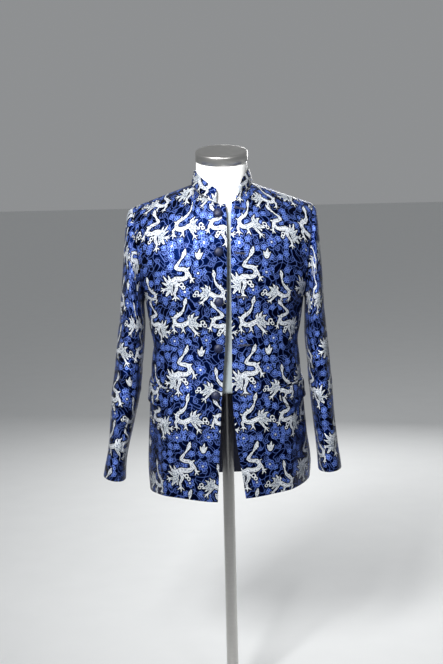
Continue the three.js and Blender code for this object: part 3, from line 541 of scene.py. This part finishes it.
def body_normal(level, angle):
    level = min(level, 1.98)
    across = body_point(level, angle + 1e-3) - body_point(level, angle - 1e-3)
    up = body_point(level + 1e-3, angle) - body_point(level - 1e-3, angle)
    return across.cross(up).normalized()


def front_angle(side, level, share):
    row = body_row(level)
    edge = side * along(edge_heights, edge_lines[side], row[1])
    start = math.asin(signed_power(edge / row[4], 1 / roundness))
    return side * mix(start, row[6] - (0.0013 if level <= 1 else 0), share)


def back_angle(side, level, share):
    return side * mix(math.pi, body_row(level)[7] + (0.0013 if level <= 1 else 0), share)


def top_level(angle_at, depth):
    if abs(body_point(2, angle_at(2)).x) > neck_half_width - 1e-6:
        return 2

    def in_neck(level):
        point = body_point(level, angle_at(level))
        return (point.x / neck_half_width) ** 2 + (point.y / depth) ** 2 < 1

    return first_where(1.5, 2, in_neck)


def column_shares(angle_at_share, neck_columns, shoulder_columns):
    def past_neck(share):
        return abs(body_point(2, angle_at_share(2, share)).x) > neck_half_width

    neck = first_where(0, 1, past_neck)
    turns = [j / neck_columns * math.pi / 2 for j in range(neck_columns)]
    shares = [neck * math.sin(turn) ** (1 / roundness) for turn in turns]
    for j in range(shoulder_columns + 1):
        t = j / shoulder_columns
        shares.append(mix(neck, 1, mix(t, math.sin(t * math.pi / 2), 0.6)))
    return shares


def column_levels(top, low_rows=154, chest_rows=46, yoke_rows=44):
    levels = [i / low_rows for i in range(low_rows + 1)]
    levels += [mix(1, 1.5, i / chest_rows) for i in range(1, chest_rows + 1)]
    return levels + [mix(1.5, top, i / yoke_rows) for i in range(1, yoke_rows + 1)]


def place_front(side, share, level):
    angle = front_angle(side, level, share)
    point = body_point(level, angle)
    z = body_row(level)[1]
    past = side * (point.x - along(edge_heights, edge_lines[side], z))
    point.y += along(edge_heights, edge_rolls[side], z) * math.exp(-((past / 14) ** 2))
    if level > 1.5:
        point.y -= seam_gap / 2 * (level - 1.5) * 2
    return point


def lay_cloth(name, points, grains, within, thickness=cloth_thickness):
    """A lined piece of cloth over rows of points, with its grain in metres as its UV map."""
    rows, columns = len(points), len(points[0])
    cut = bmesh.new()
    bmesh.ops.create_grid(cut, x_segments=columns - 1, y_segments=rows - 1, size=1)
    grain = cut.loops.layers.uv.new("grain")
    for vertex in cut.verts:
        j = round((vertex.co.x + 1) / 2 * (columns - 1))
        i = round((vertex.co.y + 1) / 2 * (rows - 1))
        vertex.co = points[i][j] * mm
        for loop in vertex.link_loops:
            loop[grain].uv = (grains[i][j][0] * mm, grains[i][j][1] * mm)
    cut.normal_update()
    cut.faces.ensure_lookup_table()
    middle = cut.faces[len(cut.faces) // 2]
    if middle.normal.dot(middle.calc_center_median() - Vector(within)) < 0:
        bmesh.ops.reverse_faces(cut, faces=cut.faces[:])
    piece = shown(name, cut, silk, lining)
    wall = piece.modifiers.new("wall", "SOLIDIFY")
    wall.thickness, wall.offset, wall.material_offset = thickness * mm, -1, 1
    edge = piece.modifiers.new("turned_edge", "BEVEL")
    edge.width, edge.segments, edge.limit_method = 0.0007, 2, "ANGLE"
    edge.angle_limit = math.radians(50)
    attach(piece, "root")
    return piece


def grain_lines(points, start_u, start_v, across=1, column=0):
    """The cloth's own lengths, across from one column and up from the first row."""
    grains = []
    for i, row in enumerate(points):
        u = [0.0] * len(row)
        u[column] = start_u(i)
        for j in range(column + 1, len(row)):
            u[j] = u[j - 1] + across * (row[j] - row[j - 1]).length
        for j in range(column - 1, -1, -1):
            u[j] = u[j + 1] - across * (row[j] - row[j + 1]).length
        if i == 0:
            v = [start_v(j) for j in range(len(row))]
        else:
            v = [v[j] + (row[j] - points[i - 1][j]).length for j in range(len(row))]
        grains.append(list(zip(u, v)))
    return grains


def seam_dips(points, edges, depth=0.9, width=2.6):
    """Sinks the cloth a little along its sewn edges, where the seam draws it in."""
    rows, columns = len(points), len(points[0])
    sunk = [[p.copy() for p in row] for row in points]
    for i in range(rows):
        for j in range(columns):
            here, dip = points[i][j], 0
            for edge in edges:
                other = {
                    "last": points[i][-1], "first": points[i][0],
                    "top": points[-1][j], "bottom": points[0][j],
                }[edge]
                dip += depth * math.exp(-(((here - other).length / width) ** 2))
            if dip > 0.01:
                a = points[i][min(j + 1, columns - 1)] - points[i][max(j - 1, 0)]
                b = points[min(i + 1, rows - 1)][j] - points[max(i - 1, 0)][j]
                normal = a.cross(b)
                if normal.length > 1e-9:
                    normal.normalize()
                    outward = Vector((here.x, here.y, 0.3 * max(0, here.z - 1150)))
                    sunk[i][j] -= normal * dip * (1 if normal.dot(outward) > 0 else -1)
    return sunk


dart_share, dart_low, dart_high, dart_spread, dart_depth = 0.60, 806, 955, 0.006, 1.3
front_shift = {right: 0.0, left: 8.0}


def front_points(side):
    def angle_at(level, share):
        return front_angle(side, level, share)

    shares = column_shares(angle_at, 26, 50)
    dart_columns = [dart_share + step for step in (-0.016, -0.008, -0.004, 0, 0.004, 0.008, 0.016)]
    shares = [s for s in shares if abs(s - dart_share) > 0.018] + dart_columns
    shares.sort()
    tops = [top_level(lambda level, s=share: front_angle(side, level, s), neck_front) for share in shares]
    levels = [column_levels(top) for top in tops]
    points = []
    for i in range(len(levels[0])):
        row = []
        for share, column in zip(shares, levels):
            level = column[i]
            point = place_front(side, share, level)
            groove = math.exp(-(((share - dart_share) / dart_spread) ** 2))
            groove *= smooth_step(point.z, dart_low, dart_low + 12)
            groove *= 1 - smooth_step(point.z, dart_high - 60, dart_high)
            if groove > 0.01:
                height = point.z
                point *= 1 - dart_depth * groove / math.hypot(point.x, point.y)
                point.z = height
            if level > 0.95:
                fade = smooth_step(level, 0.95, 1.05) * (1 - smooth_step(level, 1.6, 1.8))
                fade *= 1 - smooth_step(share, 0.88, 0.99)
                for at_side, across, height, spread, length, slant, reach in chest_pulls:
                    if at_side == side:
                        aside = (share - across) / spread
                        up = (point.z - height - slant * aside) / length
                        point.y -= fade * reach * math.exp(-(aside**2) - up**2)
            edge_way = abs(point.x - place_front(side, 0, level).x)
            ripple = 0.55 * math.sin(point.z / 5.3 + side) * math.sin(point.z / 23.0 + 2 * side)
            point.y += ripple * math.exp(-((edge_way / 9) ** 2))
            row.append(point)
        points.append(row)
    return seam_dips(points, ("last", "top"))


for side, name in sides:
    points = front_points(side)
    grains = grain_lines(
        points,
        lambda i: points[i][0].x + front_shift[side],
        lambda j: points[0][j].z,
        side,
    )
    panel = lay_cloth(f"front_cloth_{name}", points, grains, (0, 0, 0.8))
    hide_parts(f"front_{name}")

# Back
# One plain piece from hem to shoulders, eased over the shoulder blades and sewn to the fronts at
# the side and shoulder seams. It hangs in two soft flares below the waist.


def back_points():
    halves = []
    for side in (left, right):
        def angle_at(level, share, side=side):
            return back_angle(side, level, share)

        shares = column_shares(angle_at, 22, 46)
        columns = []
        for share in shares:
            top = top_level(lambda level: back_angle(side, level, share), neck_back)
            column = []
            for level in column_levels(top):
                point = body_point(level, back_angle(side, level, share))
                if level > 1.5:
                    point.y += seam_gap / 2 * (level - 1.5) * 2
                column.append(point)
            columns.append(column)
        halves.append(columns)
    columns = halves[0][::-1] + halves[1][1:]
    middle = len(halves[0]) - 1
    points = [[column[i] for column in columns] for i in range(len(columns[0]))]
    return seam_dips(points, ("first", "last", "top")), middle


points, middle = back_points()
grains = grain_lines(points, lambda i: 40.0, lambda j: points[0][j].z, 1, middle)
back = lay_cloth("back_cloth", points, grains, (0, 0, 0.8))
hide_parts("back")

# Sleeves
# Each is an upper and an under piece, sewn along two seams and eased into the armhole. They hang
# from the shoulder and bend a little forward, with soft creases round the elbow.
sleeve_round = (1, 1, 0.97, 0.94, 0.9, 0.88, 0.86, 0.86, 0.86, 0.86, 0.86, 0.88, 0.9, 0.92)
sleeve_rings = {
    right: {
        "outer_x": (211, 219, 225, 229, 234, 240, 247, 257, 266, 274.5, 280, 286, 293, 298),
        "outer_z": (1220, 1214, 1198, 1165, 1115, 1050, 980, 900, 829, 763, 700, 646, 613, 588),
        "inner_x": (187, 188.6, 190, 190, 189.5, 189, 191, 195.5, 201, 210, 224, 237, 243, 245),
        "inner_z": (1003, 1000, 994, 985, 970, 944, 910, 866, 812, 758, 700, 648, 612, 577),
        "middle_y": (0, 0, -1, -2, -3, -4, -5, -7, -10, -14, -19, -24, -28, -30),
        "half_depth": (63, 66, 69, 72, 74, 74, 72, 69, 66, 62, 58, 55, 53, 53),
    },
    left: {
        "outer_x": (211, 217, 221, 224, 227.5, 231.5, 235, 243, 248.5, 253, 258, 263, 267.5, 270),
        "outer_z": (1220, 1213, 1197, 1162, 1112, 1050, 978, 896, 826, 762, 700, 648, 618, 596),
        "inner_x": (187, 188.6, 190, 190, 189.5, 189, 188.5, 191, 196, 200, 205.5, 210.5, 213, 215),
        "inner_z": (1003, 1000, 994, 985, 970, 944, 910, 866, 812, 758, 702, 654, 622, 590),
        "middle_y": (0, 0, -1, -2, -3, -4, -4, -5, -8, -12, -17, -22, -25, -27),
        "half_depth": (63, 66, 69, 72, 75, 76, 74, 71, 68, 64, 60, 57, 55, 54),
    },
}
# Creases of a sleeve: turn forwards from its outer line, height, spread, length, slant and reach
sleeve_creases = {
    right: (
        (95, 880, 48, 17, 20, -6), (80, 800, 45, 16, -24, -5), (110, 700, 50, 18, 22, -4),
        (-90, 860, 50, 20, 16, -4), (60, 905, 34, 8, 14, 2.2), (104, 846, 36, 8, 20, 2.4),
        (48, 832, 30, 8, -16, -1.8), (120, 770, 34, 9, -18, 2.0), (70, 742, 36, 9, 16, -1.9),
        (96, 662, 40, 8, -12, 1.8), (84, 628, 38, 7, 10, -1.5), (30, 960, 30, 12, 14, -1.4),
        (76, 1020, 26, 15, 26, 1.8), (70, 1075, 22, 14, 24, -1.5), (-60, 905, 36, 9, 12, 2.0),
        (-104, 815, 38, 9, -16, 2.0), (-76, 760, 36, 8, 14, -1.7), (-100, 690, 38, 9, -12, 1.7),
        (-70, 1010, 28, 14, -22, 1.6), (168, 840, 28, 9, 8, -2.2), (172, 790, 26, 8, -8, 1.8),
        (8, 780, 26, 22, 8, 1.1), (-10, 690, 26, 20, -8, -1.0),
    ),
    left: (
        (90, 895, 46, 18, -22, -5), (105, 815, 48, 17, 24, -6), (80, 710, 45, 18, -20, -4),
        (-95, 850, 50, 20, -16, -4), (66, 925, 34, 8, -15, 2.1), (110, 860, 36, 8, -20, 2.3),
        (52, 842, 30, 9, 16, -1.7), (118, 780, 34, 8, 18, 2.1), (66, 756, 34, 8, -14, -1.8),
        (100, 672, 38, 8, 12, 1.7), (80, 636, 38, 7, -10, -1.6), (34, 972, 28, 12, -12, -1.3),
        (78, 1030, 26, 14, -24, 1.7), (66, 1082, 22, 13, -26, -1.4), (-64, 900, 36, 9, -12, 1.9),
        (-100, 806, 38, 9, 16, 2.1), (-80, 752, 34, 8, -12, -1.7), (-96, 680, 38, 9, 12, 1.6),
        (-74, 1018, 28, 13, 22, 1.5), (170, 850, 28, 9, -8, -2.1), (176, 795, 26, 8, 8, 1.7),
        (12, 800, 26, 20, -8, 1.2), (-6, 700, 26, 22, 8, -1.0),
    ),
}


def sleeve_point(side, way, degrees):
    rings = sleeve_rings[side]
    turn = math.radians(degrees)

    def at(column):
        return along([k / 13 for k in range(14)], column, way)

    scoop = armhole_scoop * max(0, 1 - way / 0.33)
    power = at(sleeve_round)
    across = signed_power(math.cos(turn), power)
    ahead = signed_power(math.sin(turn), power) * (1 - scoop * math.cos(turn))
    share = (1 + across) / 2
    x = mix(at(rings["inner_x"]), at(rings["outer_x"]), share)
    z = mix(at(rings["inner_z"]), at(rings["outer_z"]), share)
    push = smooth_step(way, 0.1, 0.3) * fold_reach(sleeve_creases[side], degrees, z)
    ease = 0.5 * math.sin(degrees / 3.1) * math.exp(-((way - 0.03) / 0.025) ** 2) * max(0, across)
    x += (push + ease) * across
    y = at(rings["middle_y"]) - (at(rings["half_depth"]) + push + ease) * ahead
    return Vector((side * (x + seam_gap), y, z))


sleeve_shift = {right: (20.0, -28.0), left: (100.0, 77.0)}
sleeve_middle, sleeve_rows = 225, 210
# The pieces of a sleeve: turns of their seams, columns, start of the grain, flat size and area
sleeve_parts = (
    ("upper", -112, 112, 76, 0.0, (0.25, 0.64), 0.108),
    ("under", 112, 248, 44, 175.0, (0.15, 0.50), 0.058),
)
for side, name in sides:
    for part, start, end, columns, around, flat, area in sleeve_parts:
        turns = []
        for j in range(columns + 1):
            t = j / columns
            t -= 0.75 * math.sin(2 * math.pi * t) / (2 * math.pi)
            turns.append(mix(start + 0.15, end - 0.15, t))
        ways = [1 - i / sleeve_rows for i in range(sleeve_rows + 1)]
        ways = [w - 0.004 * math.sin(2 * math.pi * w) for w in ways]
        points = [[sleeve_point(side, way, turn) for turn in turns] for way in ways]
        aside = Vector((side * sleeve_middle, 0, 0))
        sunk = seam_dips([[p - aside for p in row] for row in points], ("first", "last", "top"))
        points = [[p + aside for p in row] for row in sunk]
        middle = columns // 2
        shift = sleeve_shift[side]
        grains = grain_lines(points, lambda i: shift[0] + around, lambda j: shift[1], -side, middle)
        axis = (side * sleeve_middle * mm, -0.01, points[sleeve_rows // 2][middle].z * mm)
        cloth = lay_cloth(f"sleeve_{part}_cloth_{name}", points, grains, axis)
        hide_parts(f"sleeve_{part}_{name}")

# Stand collar
# A stiffened band, cut on the curve and sewn round the neckline. It leans in to the neck and its
# ends stand open at the front.
collar_front, collar_side, collar_back, collar_lean = 37, 33, 37, 0.1
collar_ends, collar_sweep, collar_columns, collar_rows = (-14, 29), 11, 150, 14


def neck_line():
    line = []
    for side in (right, left):
        shares = column_shares(lambda level, share: front_angle(side, level, share), 40, 1)[:-1]
        tops = [top_level(lambda level, s=s: front_angle(side, level, s), neck_front) for s in shares]
        half = [place_front(side, share, top) for share, top in zip(shares, tops)]
        shares = column_shares(lambda level, share: back_angle(side, level, share), 36, 1)[:-1]
        tops = [top_level(lambda level, s=s: back_angle(side, level, s), neck_back) for s in shares]
        back_half = [body_point(top, back_angle(side, top, share)) for share, top in zip(shares, tops)]
        line.append(half + back_half[-2::-1])
    return line[0] + line[1][-2::-1]


def evenly(line, count):
    ways = [0.0]
    for a, b in zip(line, line[1:]):
        ways.append(ways[-1] + (b - a).length)
    placed, i = [], 0
    for k in range(count + 1):
        way = ways[-1] * k / count
        while i < len(ways) - 2 and ways[i + 1] < way:
            i += 1
        placed.append(line[i].lerp(line[i + 1], (way - ways[i]) / max(ways[i + 1] - ways[i], 1e-9)))
    return placed


def cut_at(a, b, x):
    """The point on the way from one to another that lies at x."""
    return a.lerp(b, (x - a.x) / (b.x - a.x))


line = neck_line()
start = next(i for i, p in enumerate(line) if p.x < collar_ends[0])
end = len(line) - 1 - next(i for i, p in enumerate(reversed(line)) if p.x > collar_ends[1])
first = cut_at(line[start - 1], line[start], collar_ends[0])
last = cut_at(line[end], line[end + 1], collar_ends[1])
band = evenly([first] + line[start:end + 1] + [last], collar_columns)
points = []
for i in range(collar_rows + 1):
    share = i / collar_rows
    row = []
    for j, base in enumerate(band):
        ahead = -base.y / math.hypot(base.x, base.y)
        full = mix(collar_side, collar_front if ahead > 0 else collar_back, ahead**2)
        corner = min(j, collar_columns - j) / 5
        full -= 5.0 * math.exp(-corner)
        leaning = 1 - collar_lean * share + 0.012 * math.sin(math.pi * share)
        sweep = collar_sweep * share * math.exp(-((collar_columns - j) / 9) ** 2)
        row.append(Vector((base.x * leaning + sweep, base.y * leaning, base.z + seam_gap + full * share)))
    points.append(row)
grains = grain_lines(points, lambda i: 60.0, lambda j: 30.0, 1, collar_columns // 2)
collar = lay_cloth("collar_band", points, grains, (0, 0, 1.26))
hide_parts("collar")

# Pocket flaps
# Each is lined, turned out and sewn into a narrow welt just below the dart, then pressed down over
# the pocket's mouth. Its corners are rounded.
flap_front, flap_front_top, flap_back_top, flap_height = 121, 798, 811, 43
flap_back_share, flap_stand = 0.985, 1.7
flap_columns, flap_rows, welt_rows = 72, 24, 4
# Creases of a flap: column, slant, spread and reach
flap_creases = ((20, 9, 3, 0.7), (47, -12, 4, -0.8))


def level_at(z):
    if z < underarm_height:
        return (z - hem_height) / (underarm_height - hem_height)
    return first_where(1, 2, lambda level: body_point(level, 0).z > z)


for side, name in sides:
    back_level = level_at(flap_back_top)

    def past_front(share):
        return abs(body_point(back_level, front_angle(side, back_level, share)).x) > flap_front

    start = first_where(0, 1, past_front)

    def flap_place(length, down, out):
        share = mix(start, flap_back_share, length)
        rounding = 1 - 0.28 * abs(2 * length - 1) ** 7
        z = mix(flap_front_top, flap_back_top, length) - flap_height * rounding * down
        level = level_at(z)
        angle = front_angle(side, level, share)
        return place_front(side, share, level) + body_normal(level, angle) * out

    points = []
    for i in range(flap_rows + 1):
        down = 1 - i / flap_rows
        row = []
        for j in range(flap_columns + 1):
            out = flap_stand + cloth_thickness + 1.1 * math.sin(math.pi * min(down * 1.6, 1))
            out += (2.4 + 0.8 * math.sin(j / 11 + side)) * down**3
            for column, slant, spread, reach in flap_creases:
                out += reach * down * math.exp(-(((j - column - slant * down) / spread) ** 2))
            row.append(flap_place(j / flap_columns, down, out))
        points.append(row)
    start_u = flap_front * side + front_shift[side]
    grains = grain_lines(points, lambda i: start_u, lambda j: points[0][j].z + 4, side)
    flap = lay_cloth(f"flap_cloth_{name}", points, grains, (0, 0, 0.8))
    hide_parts(f"flap_{name}")

    welt = []
    for i in range(welt_rows + 1):
        share = i / welt_rows
        out = flap_stand - 0.4 + 1.5 * math.sin(math.pi * share)
        down = -0.13 + 0.115 * share
        welt.append([flap_place(j / flap_columns, down, out) for j in range(flap_columns + 1)])
    grains = grain_lines(welt, lambda i: start_u, lambda j: 20.0, side)
    band = lay_cloth(f"pocket_welt_{name}", welt, grains, (0, 0, 0.8), thickness=0.8)

# Covered buttons
# Domed metal shells drawn over with the same silk, gathered in at the back, and sewn on by a
# short shank through the right front.
button_spots = ((1207, 19), (1121, 19), (1007, 17), (899, 15), (790, 14))
button_radius, button_dome, button_edge, shank_height = 10.5, 6.0, 1.6, 2.6
dome_angles = (-0.22, -0.1, 0, 0.12, 0.25, 0.4, 0.6, 0.8, 1.0, 1.2, 1.4)
button_pleats, pleat_depth = 14, 0.018
navy_silk, navy_shader, tone = finish_of("button_silk", Specular_IOR_Level=0.4)
metres = tone.make("ShaderNodeUVMap", {"uv_map": "grain"})
twill = metres.vector("DOT_PRODUCT", metres, (9000, 12000, 0))
petal = metres.make("ShaderNodeTexVoronoi", {"voronoi_dimensions": "2D"},
                    {"Vector": metres, "Scale": 190.0, "Randomness": 0.7}, "Distance")
flecks = abs(petal - 0.32).under(0.05, 0.06)
colour = (flecks * 0.5).blend((0.003, 0.005, 0.022, 1), (0.02, 0.04, 0.15, 1))
wire(navy_silk, navy_shader, Base_Color=colour, Roughness=0.5 - flecks * 0.1,
     Normal=twill.sum_of("SINE", twill).bump(0.00005, 0.5))


def turned(profile, steps):
    """A closed skin spun round Z from pairs of radius and height."""
    skin = bmesh.new()
    ring = [skin.verts.new((r * mm, 0, h * mm)) for r, h in profile]
    edges = [skin.edges.new(pair) for pair in zip(ring, ring[1:])]
    bmesh.ops.spin(skin, geom=ring + edges, cent=(0, 0, 0), axis=(0, 0, 1), angle=math.tau, steps=steps,
                   use_merge=True)
    bmesh.ops.remove_doubles(skin, verts=skin.verts[:], dist=1e-6)
    bmesh.ops.recalc_face_normals(skin, faces=skin.faces[:])
    return skin


for number, (z, setback) in enumerate(button_spots, 1):
    level = level_at(z)
    row = body_row(level)
    x = along(edge_heights, edge_lines[right], row[1]) - setback
    angle = math.asin(signed_power(x / row[4], 1 / roundness))
    out = body_normal(level, angle)
    seat = body_point(level, angle) + out * seam_gap
    rim = shank_height + button_edge
    profile = [(0, 0), (3.5, 0), (3.2, shank_height * 0.6), (3.6, shank_height), (8.4, shank_height - 0.2)]
    profile += [(button_radius * math.cos(a) ** 0.9, rim + button_dome * math.sin(a)) for a in dome_angles]
    profile.append((0, rim + button_dome))
    shell = turned(profile, 56)
    grain = shell.loops.layers.uv.new("grain")
    for face in shell.faces:
        for loop in face.loops:
            loop[grain].uv = (loop.vert.co.x + 0.031 * number, loop.vert.co.y + 0.017 * number)
    for vertex in shell.verts:
        away = math.hypot(vertex.co.x, vertex.co.y)
        if away > 0.004 and vertex.co.z < (rim + 2.5) * mm:
            pleat = 1 + pleat_depth * math.sin(math.atan2(vertex.co.y, vertex.co.x) * button_pleats)
            vertex.co.x, vertex.co.y = vertex.co.x * pleat, vertex.co.y * pleat
    facing = Vector((0, 0, 1)).rotation_difference(out).to_matrix().to_4x4()
    bmesh.ops.transform(shell, matrix=Matrix.Translation(seat * mm) @ facing, verts=shell.verts[:])
    button = shown(f"covered_button_{number}", shell, navy_silk)
    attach(button, "root")
    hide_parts(f"button_{number}")

# Buttonholes
# Five keyhole buttonholes cut through the left front and worked over with close navy stitches,
# each with a round eye at the end beside the front edge.
hole_spots = ((25.6, 1223), (23.4, 1119), (25.8, 1017), (29.1, 904), (30.2, 790))
hole_length, hole_steps, cord_sides = 24, 64, 8
thread, thread_shader, tone = finish_of("buttonhole_thread", Sheen_Weight=0.3)
place = tone.make("ShaderNodeUVMap", {"uv_map": "grain"})
strand = place.vector("DOT_PRODUCT", place, (9000, 0, 0))
ply = place.sum_of("SINE", strand)
colour = (ply * 0.5 + 0.5).blend((0.003, 0.004, 0.014, 1), (0.012, 0.016, 0.05, 1))
wire(thread, thread_shader, Base_Color=colour, Roughness=0.62 - ply * 0.08, Normal=ply.bump(0.0002, 0.7))


def left_front_at(x, z):
    level = level_at(z)
    edge = place_front(left, 0, level).x
    share = first_where(0, 1, lambda s: place_front(left, s, level).x > max(x, edge + 0.2))
    return place_front(left, share, level), body_normal(level, front_angle(left, level, share))


for number, (x, z) in enumerate(hole_spots, 1):
    path = []
    for k in range(hole_steps):
        angle = k / hole_steps * math.tau
        px = hole_length / 2 + hole_length / 2 * math.cos(angle)
        eye = math.exp(-((px - 2.2) / 2.6) ** 2)
        half = (1.1 + 1.5 * eye) * abs(math.sin(angle)) ** 0.35
        path.append((px, math.copysign(half, math.sin(angle))))
    stitches = bmesh.new()
    grain = stitches.loops.layers.uv.new("grain")
    rings = []
    for k, (px, pz) in enumerate(path):
        nx, nz = path[(k + 1) % hole_steps]
        along_way = Vector((nx - px, 0, nz - pz))
        base, out = left_front_at(x + 2 + px, z + pz)
        side_way = along_way.cross(Vector((0, -1, 0))).normalized()
        made = bmesh.ops.create_circle(stitches, segments=cord_sides, radius=1)["verts"]
        for m, vertex in enumerate(made):
            a = m / cord_sides * math.tau
            vertex.co = (base + out * (0.25 + 0.75 * math.sin(a)) + side_way * 1.05 * math.cos(a)) * mm
        rings.append(made)
    for k in range(hole_steps):
        a, b = rings[k], rings[(k + 1) % hole_steps]
        for m in range(cord_sides):
            n = (m + 1) % cord_sides
            face = stitches.faces.new((a[m], a[n], b[n], b[m]))
            for loop, (uk, um) in zip(face.loops, ((k, m), (k, m + 1), (k + 1, m + 1), (k + 1, m))):
                loop[grain].uv = (uk * 0.0009, um * 0.0005)
    bmesh.ops.recalc_face_normals(stitches, faces=stitches.faces[:])
    worked = shown(f"buttonhole_{number}", stitches, thread)
    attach(worked, "root")

# Dress form
# A hollow torso without arms, with flat plates at the armholes, grey up to the foot of its neck and
# white above. The neck leans a little forward and ends in a tilted oval.
shell_ease, shoulder_ease, back_ease, chest_hollow = 13, 3.1, 2.2, 9
plate_angle, plate_ease, form_bottom = 0.35, 3.5, 788
form_white, form_shader, tone = finish_of("form_shell", Coat_Roughness=0.25)
place = tone.make("ShaderNodeTexCoord", output="Object")
cloudy = place.noise(place, 14.0, 3.0)
orange_peel = place.noise(place, 420.0, 2.0)
white = cloudy.blend((0.80, 0.80, 0.78, 1), (0.86, 0.86, 0.84, 1))
# The shell's colour turns from white to grey below a height of 1.212 m, across a 12 mm band.
grey_top = 1.212
grey_below = place.parts()[2].under(grey_top, 0.012)
wire(form_white, form_shader, Base_Color=grey_below.blend(white, (0.27, 0.31, 0.325, 1)),
     Roughness=cloudy * 0.12 + 0.36, Normal=orange_peel.bump(0.0002, 0.25))


def form_ring(level, count):
    row = body_row(level)
    slack = mix(shell_ease, shoulder_ease, smooth_step(level, 1.2, 1.8))
    widest = math.inf
    if level > 1:
        widest = mix(underarm_half_width, shoulder_half_width, row[0] / shoulder_slope) - plate_ease

    def inside(angle):
        ahead = math.cos(angle) > 0
        hollow = chest_hollow * math.exp(-((math.sin(angle) / 0.3) ** 2)) if ahead else back_ease
        point = body_point(level, angle) - body_normal(level, angle) * (slack + hollow)
        point.x = min(point.x, widest)
        return point

    front_end = min(row[6], math.pi / 2 - plate_angle)
    back_end = max(row[7], math.pi / 2 + plate_angle)
    half = [inside(front_end * i / count) for i in range(count + 1)]
    behind = inside(back_end)
    plate = [half[-1].lerp(behind, i / 12) for i in range(1, 12)]
    half = half + plate + [inside(mix(back_end, math.pi, i / count)) for i in range(count + 1)]
    half[0].x = half[-1].x = 0
    return half + [Vector((-p.x, p.y, p.z)) for p in half[-2:0:-1]]


def loft(name, rings, finish):
    """A closed skin through rings of points."""
    skin = bmesh.new()
    loops = []
    for ring in rings:
        made = bmesh.ops.create_circle(skin, segments=len(ring), radius=1)["verts"]
        for vertex, point in zip(made, ring):
            vertex.co = point * mm
        loops.append(made)
    for lower, upper in zip(loops, loops[1:]):
        for j in range(len(lower)):
            k = (j + 1) % len(lower)
            skin.faces.new((lower[j], lower[k], upper[k], upper[j]))
    skin.faces.new(loops[0])
    skin.faces.new(loops[-1])
    bmesh.ops.recalc_face_normals(skin, faces=skin.faces[:])
    return shown(name, skin, finish)


def neck_ring(section, lift, grow, count=72):
    z, middle_y, half_width, half_depth, tilt = section
    slope = math.radians(15) * tilt
    ring = []
    for j in range(count):
        angle = j / count * math.tau
        y = -(half_depth + grow) * math.cos(angle)
        ring.append(Vector((
            (half_width + grow) * math.sin(angle),
            middle_y + y * math.cos(slope) - lift * math.sin(slope),
            z + y * math.sin(slope) + lift * math.cos(slope),
        )))
    return ring


neck_sections = (
    (1200, -2, 70, 62, 0), (1236, -4, 66, 60, 0.1), (1262, -6, 62, 58, 0.35),
    (1290, -8, 60, 58, 0.75), (1326, -10, 60, 58, 1),
)
bottom_level = level_at(form_bottom)
levels = [mix(bottom_level, 1, i / 34) for i in range(35)] + [mix(1, 1.94, i / 50) for i in range(1, 51)]
rings = [form_ring(level, 26) for level in levels]
for point in rings[0]:
    point.z = form_bottom
torso = loft("dress_form", rings, form_white)
neck = loft("form_neck", [neck_ring(section, 0, 0) for section in neck_sections], form_white)
joined = torso.modifiers.new("neck", "BOOLEAN")
joined.operation, joined.object, joined.solver = "UNION", neck, "EXACT"
blended = torso.modifiers.new("blended", "REMESH")
blended.mode, blended.voxel_size, blended.use_smooth_shade = "VOXEL", 0.005, True
eased = torso.modifiers.new("eased", "SMOOTH")
eased.factor, eased.iterations = 0.5, 4
ready = bpy.data.meshes.new_from_object(torso.evaluated_get(bpy.context.evaluated_depsgraph_get()))
torso.modifiers.clear()
torso.data = ready
torso.data.shade_smooth()
bpy.data.objects.remove(neck)
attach(torso, "root")
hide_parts("form")

# Neck cap, tube and base
# A spun steel cap closes the neck. The form stands on a steel tube, 28 mm across, that is screwed
# into a heavy round steel base.
steel, steel_shader, tone = finish_of("brushed_steel", Metallic=1.0)
place = tone.make("ShaderNodeTexCoord", output="Object")
brushing = place.noise(place.vector("MULTIPLY", place, (40, 40, 2200)), 1.0, 3.0)
wire(steel, steel_shader, Base_Color=brushing.blend((0.50, 0.49, 0.47, 1), (0.66, 0.65, 0.63, 1)),
     Roughness=brushing * 0.2 + 0.22, Normal=brushing.bump(0.00008, 0.4))

section = neck_sections[-1]
cap_layers = ((0.3, 0.2), (0.8, 1.0), (18.6, 1.0), (20.2, 0.5), (21.4, -0.8), (22.0, -2.6), (22.0, -8.0))
cap = loft("neck_cap_shell", [neck_ring(section, lift, grow, 96) for lift, grow in cap_layers], steel)
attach(cap, "root")
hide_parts("neck_cap")

tube_profile = ((0, 12.3), (13.4, 12.3), (14, 12.9), (14, 787.1), (13.4, 787.7), (0, 787.7))
base_profile = ((0, 0), (168.6, 0), (170, 1.4), (170, 8.6), (169.4, 10.6), (167.6, 11.8), (165, 12),
                (40, 12), (0, 12))
for name, profile, replaced, steps in (
    ("stand_tube", tube_profile, "pole", 96), ("stand_base", base_profile, "base", 160)
):
    piece = shown(name, turned(profile, steps), steel)
    piece.data.set_sharp_from_angle(angle=math.radians(40))
    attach(piece, "root")
    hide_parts(replaced)
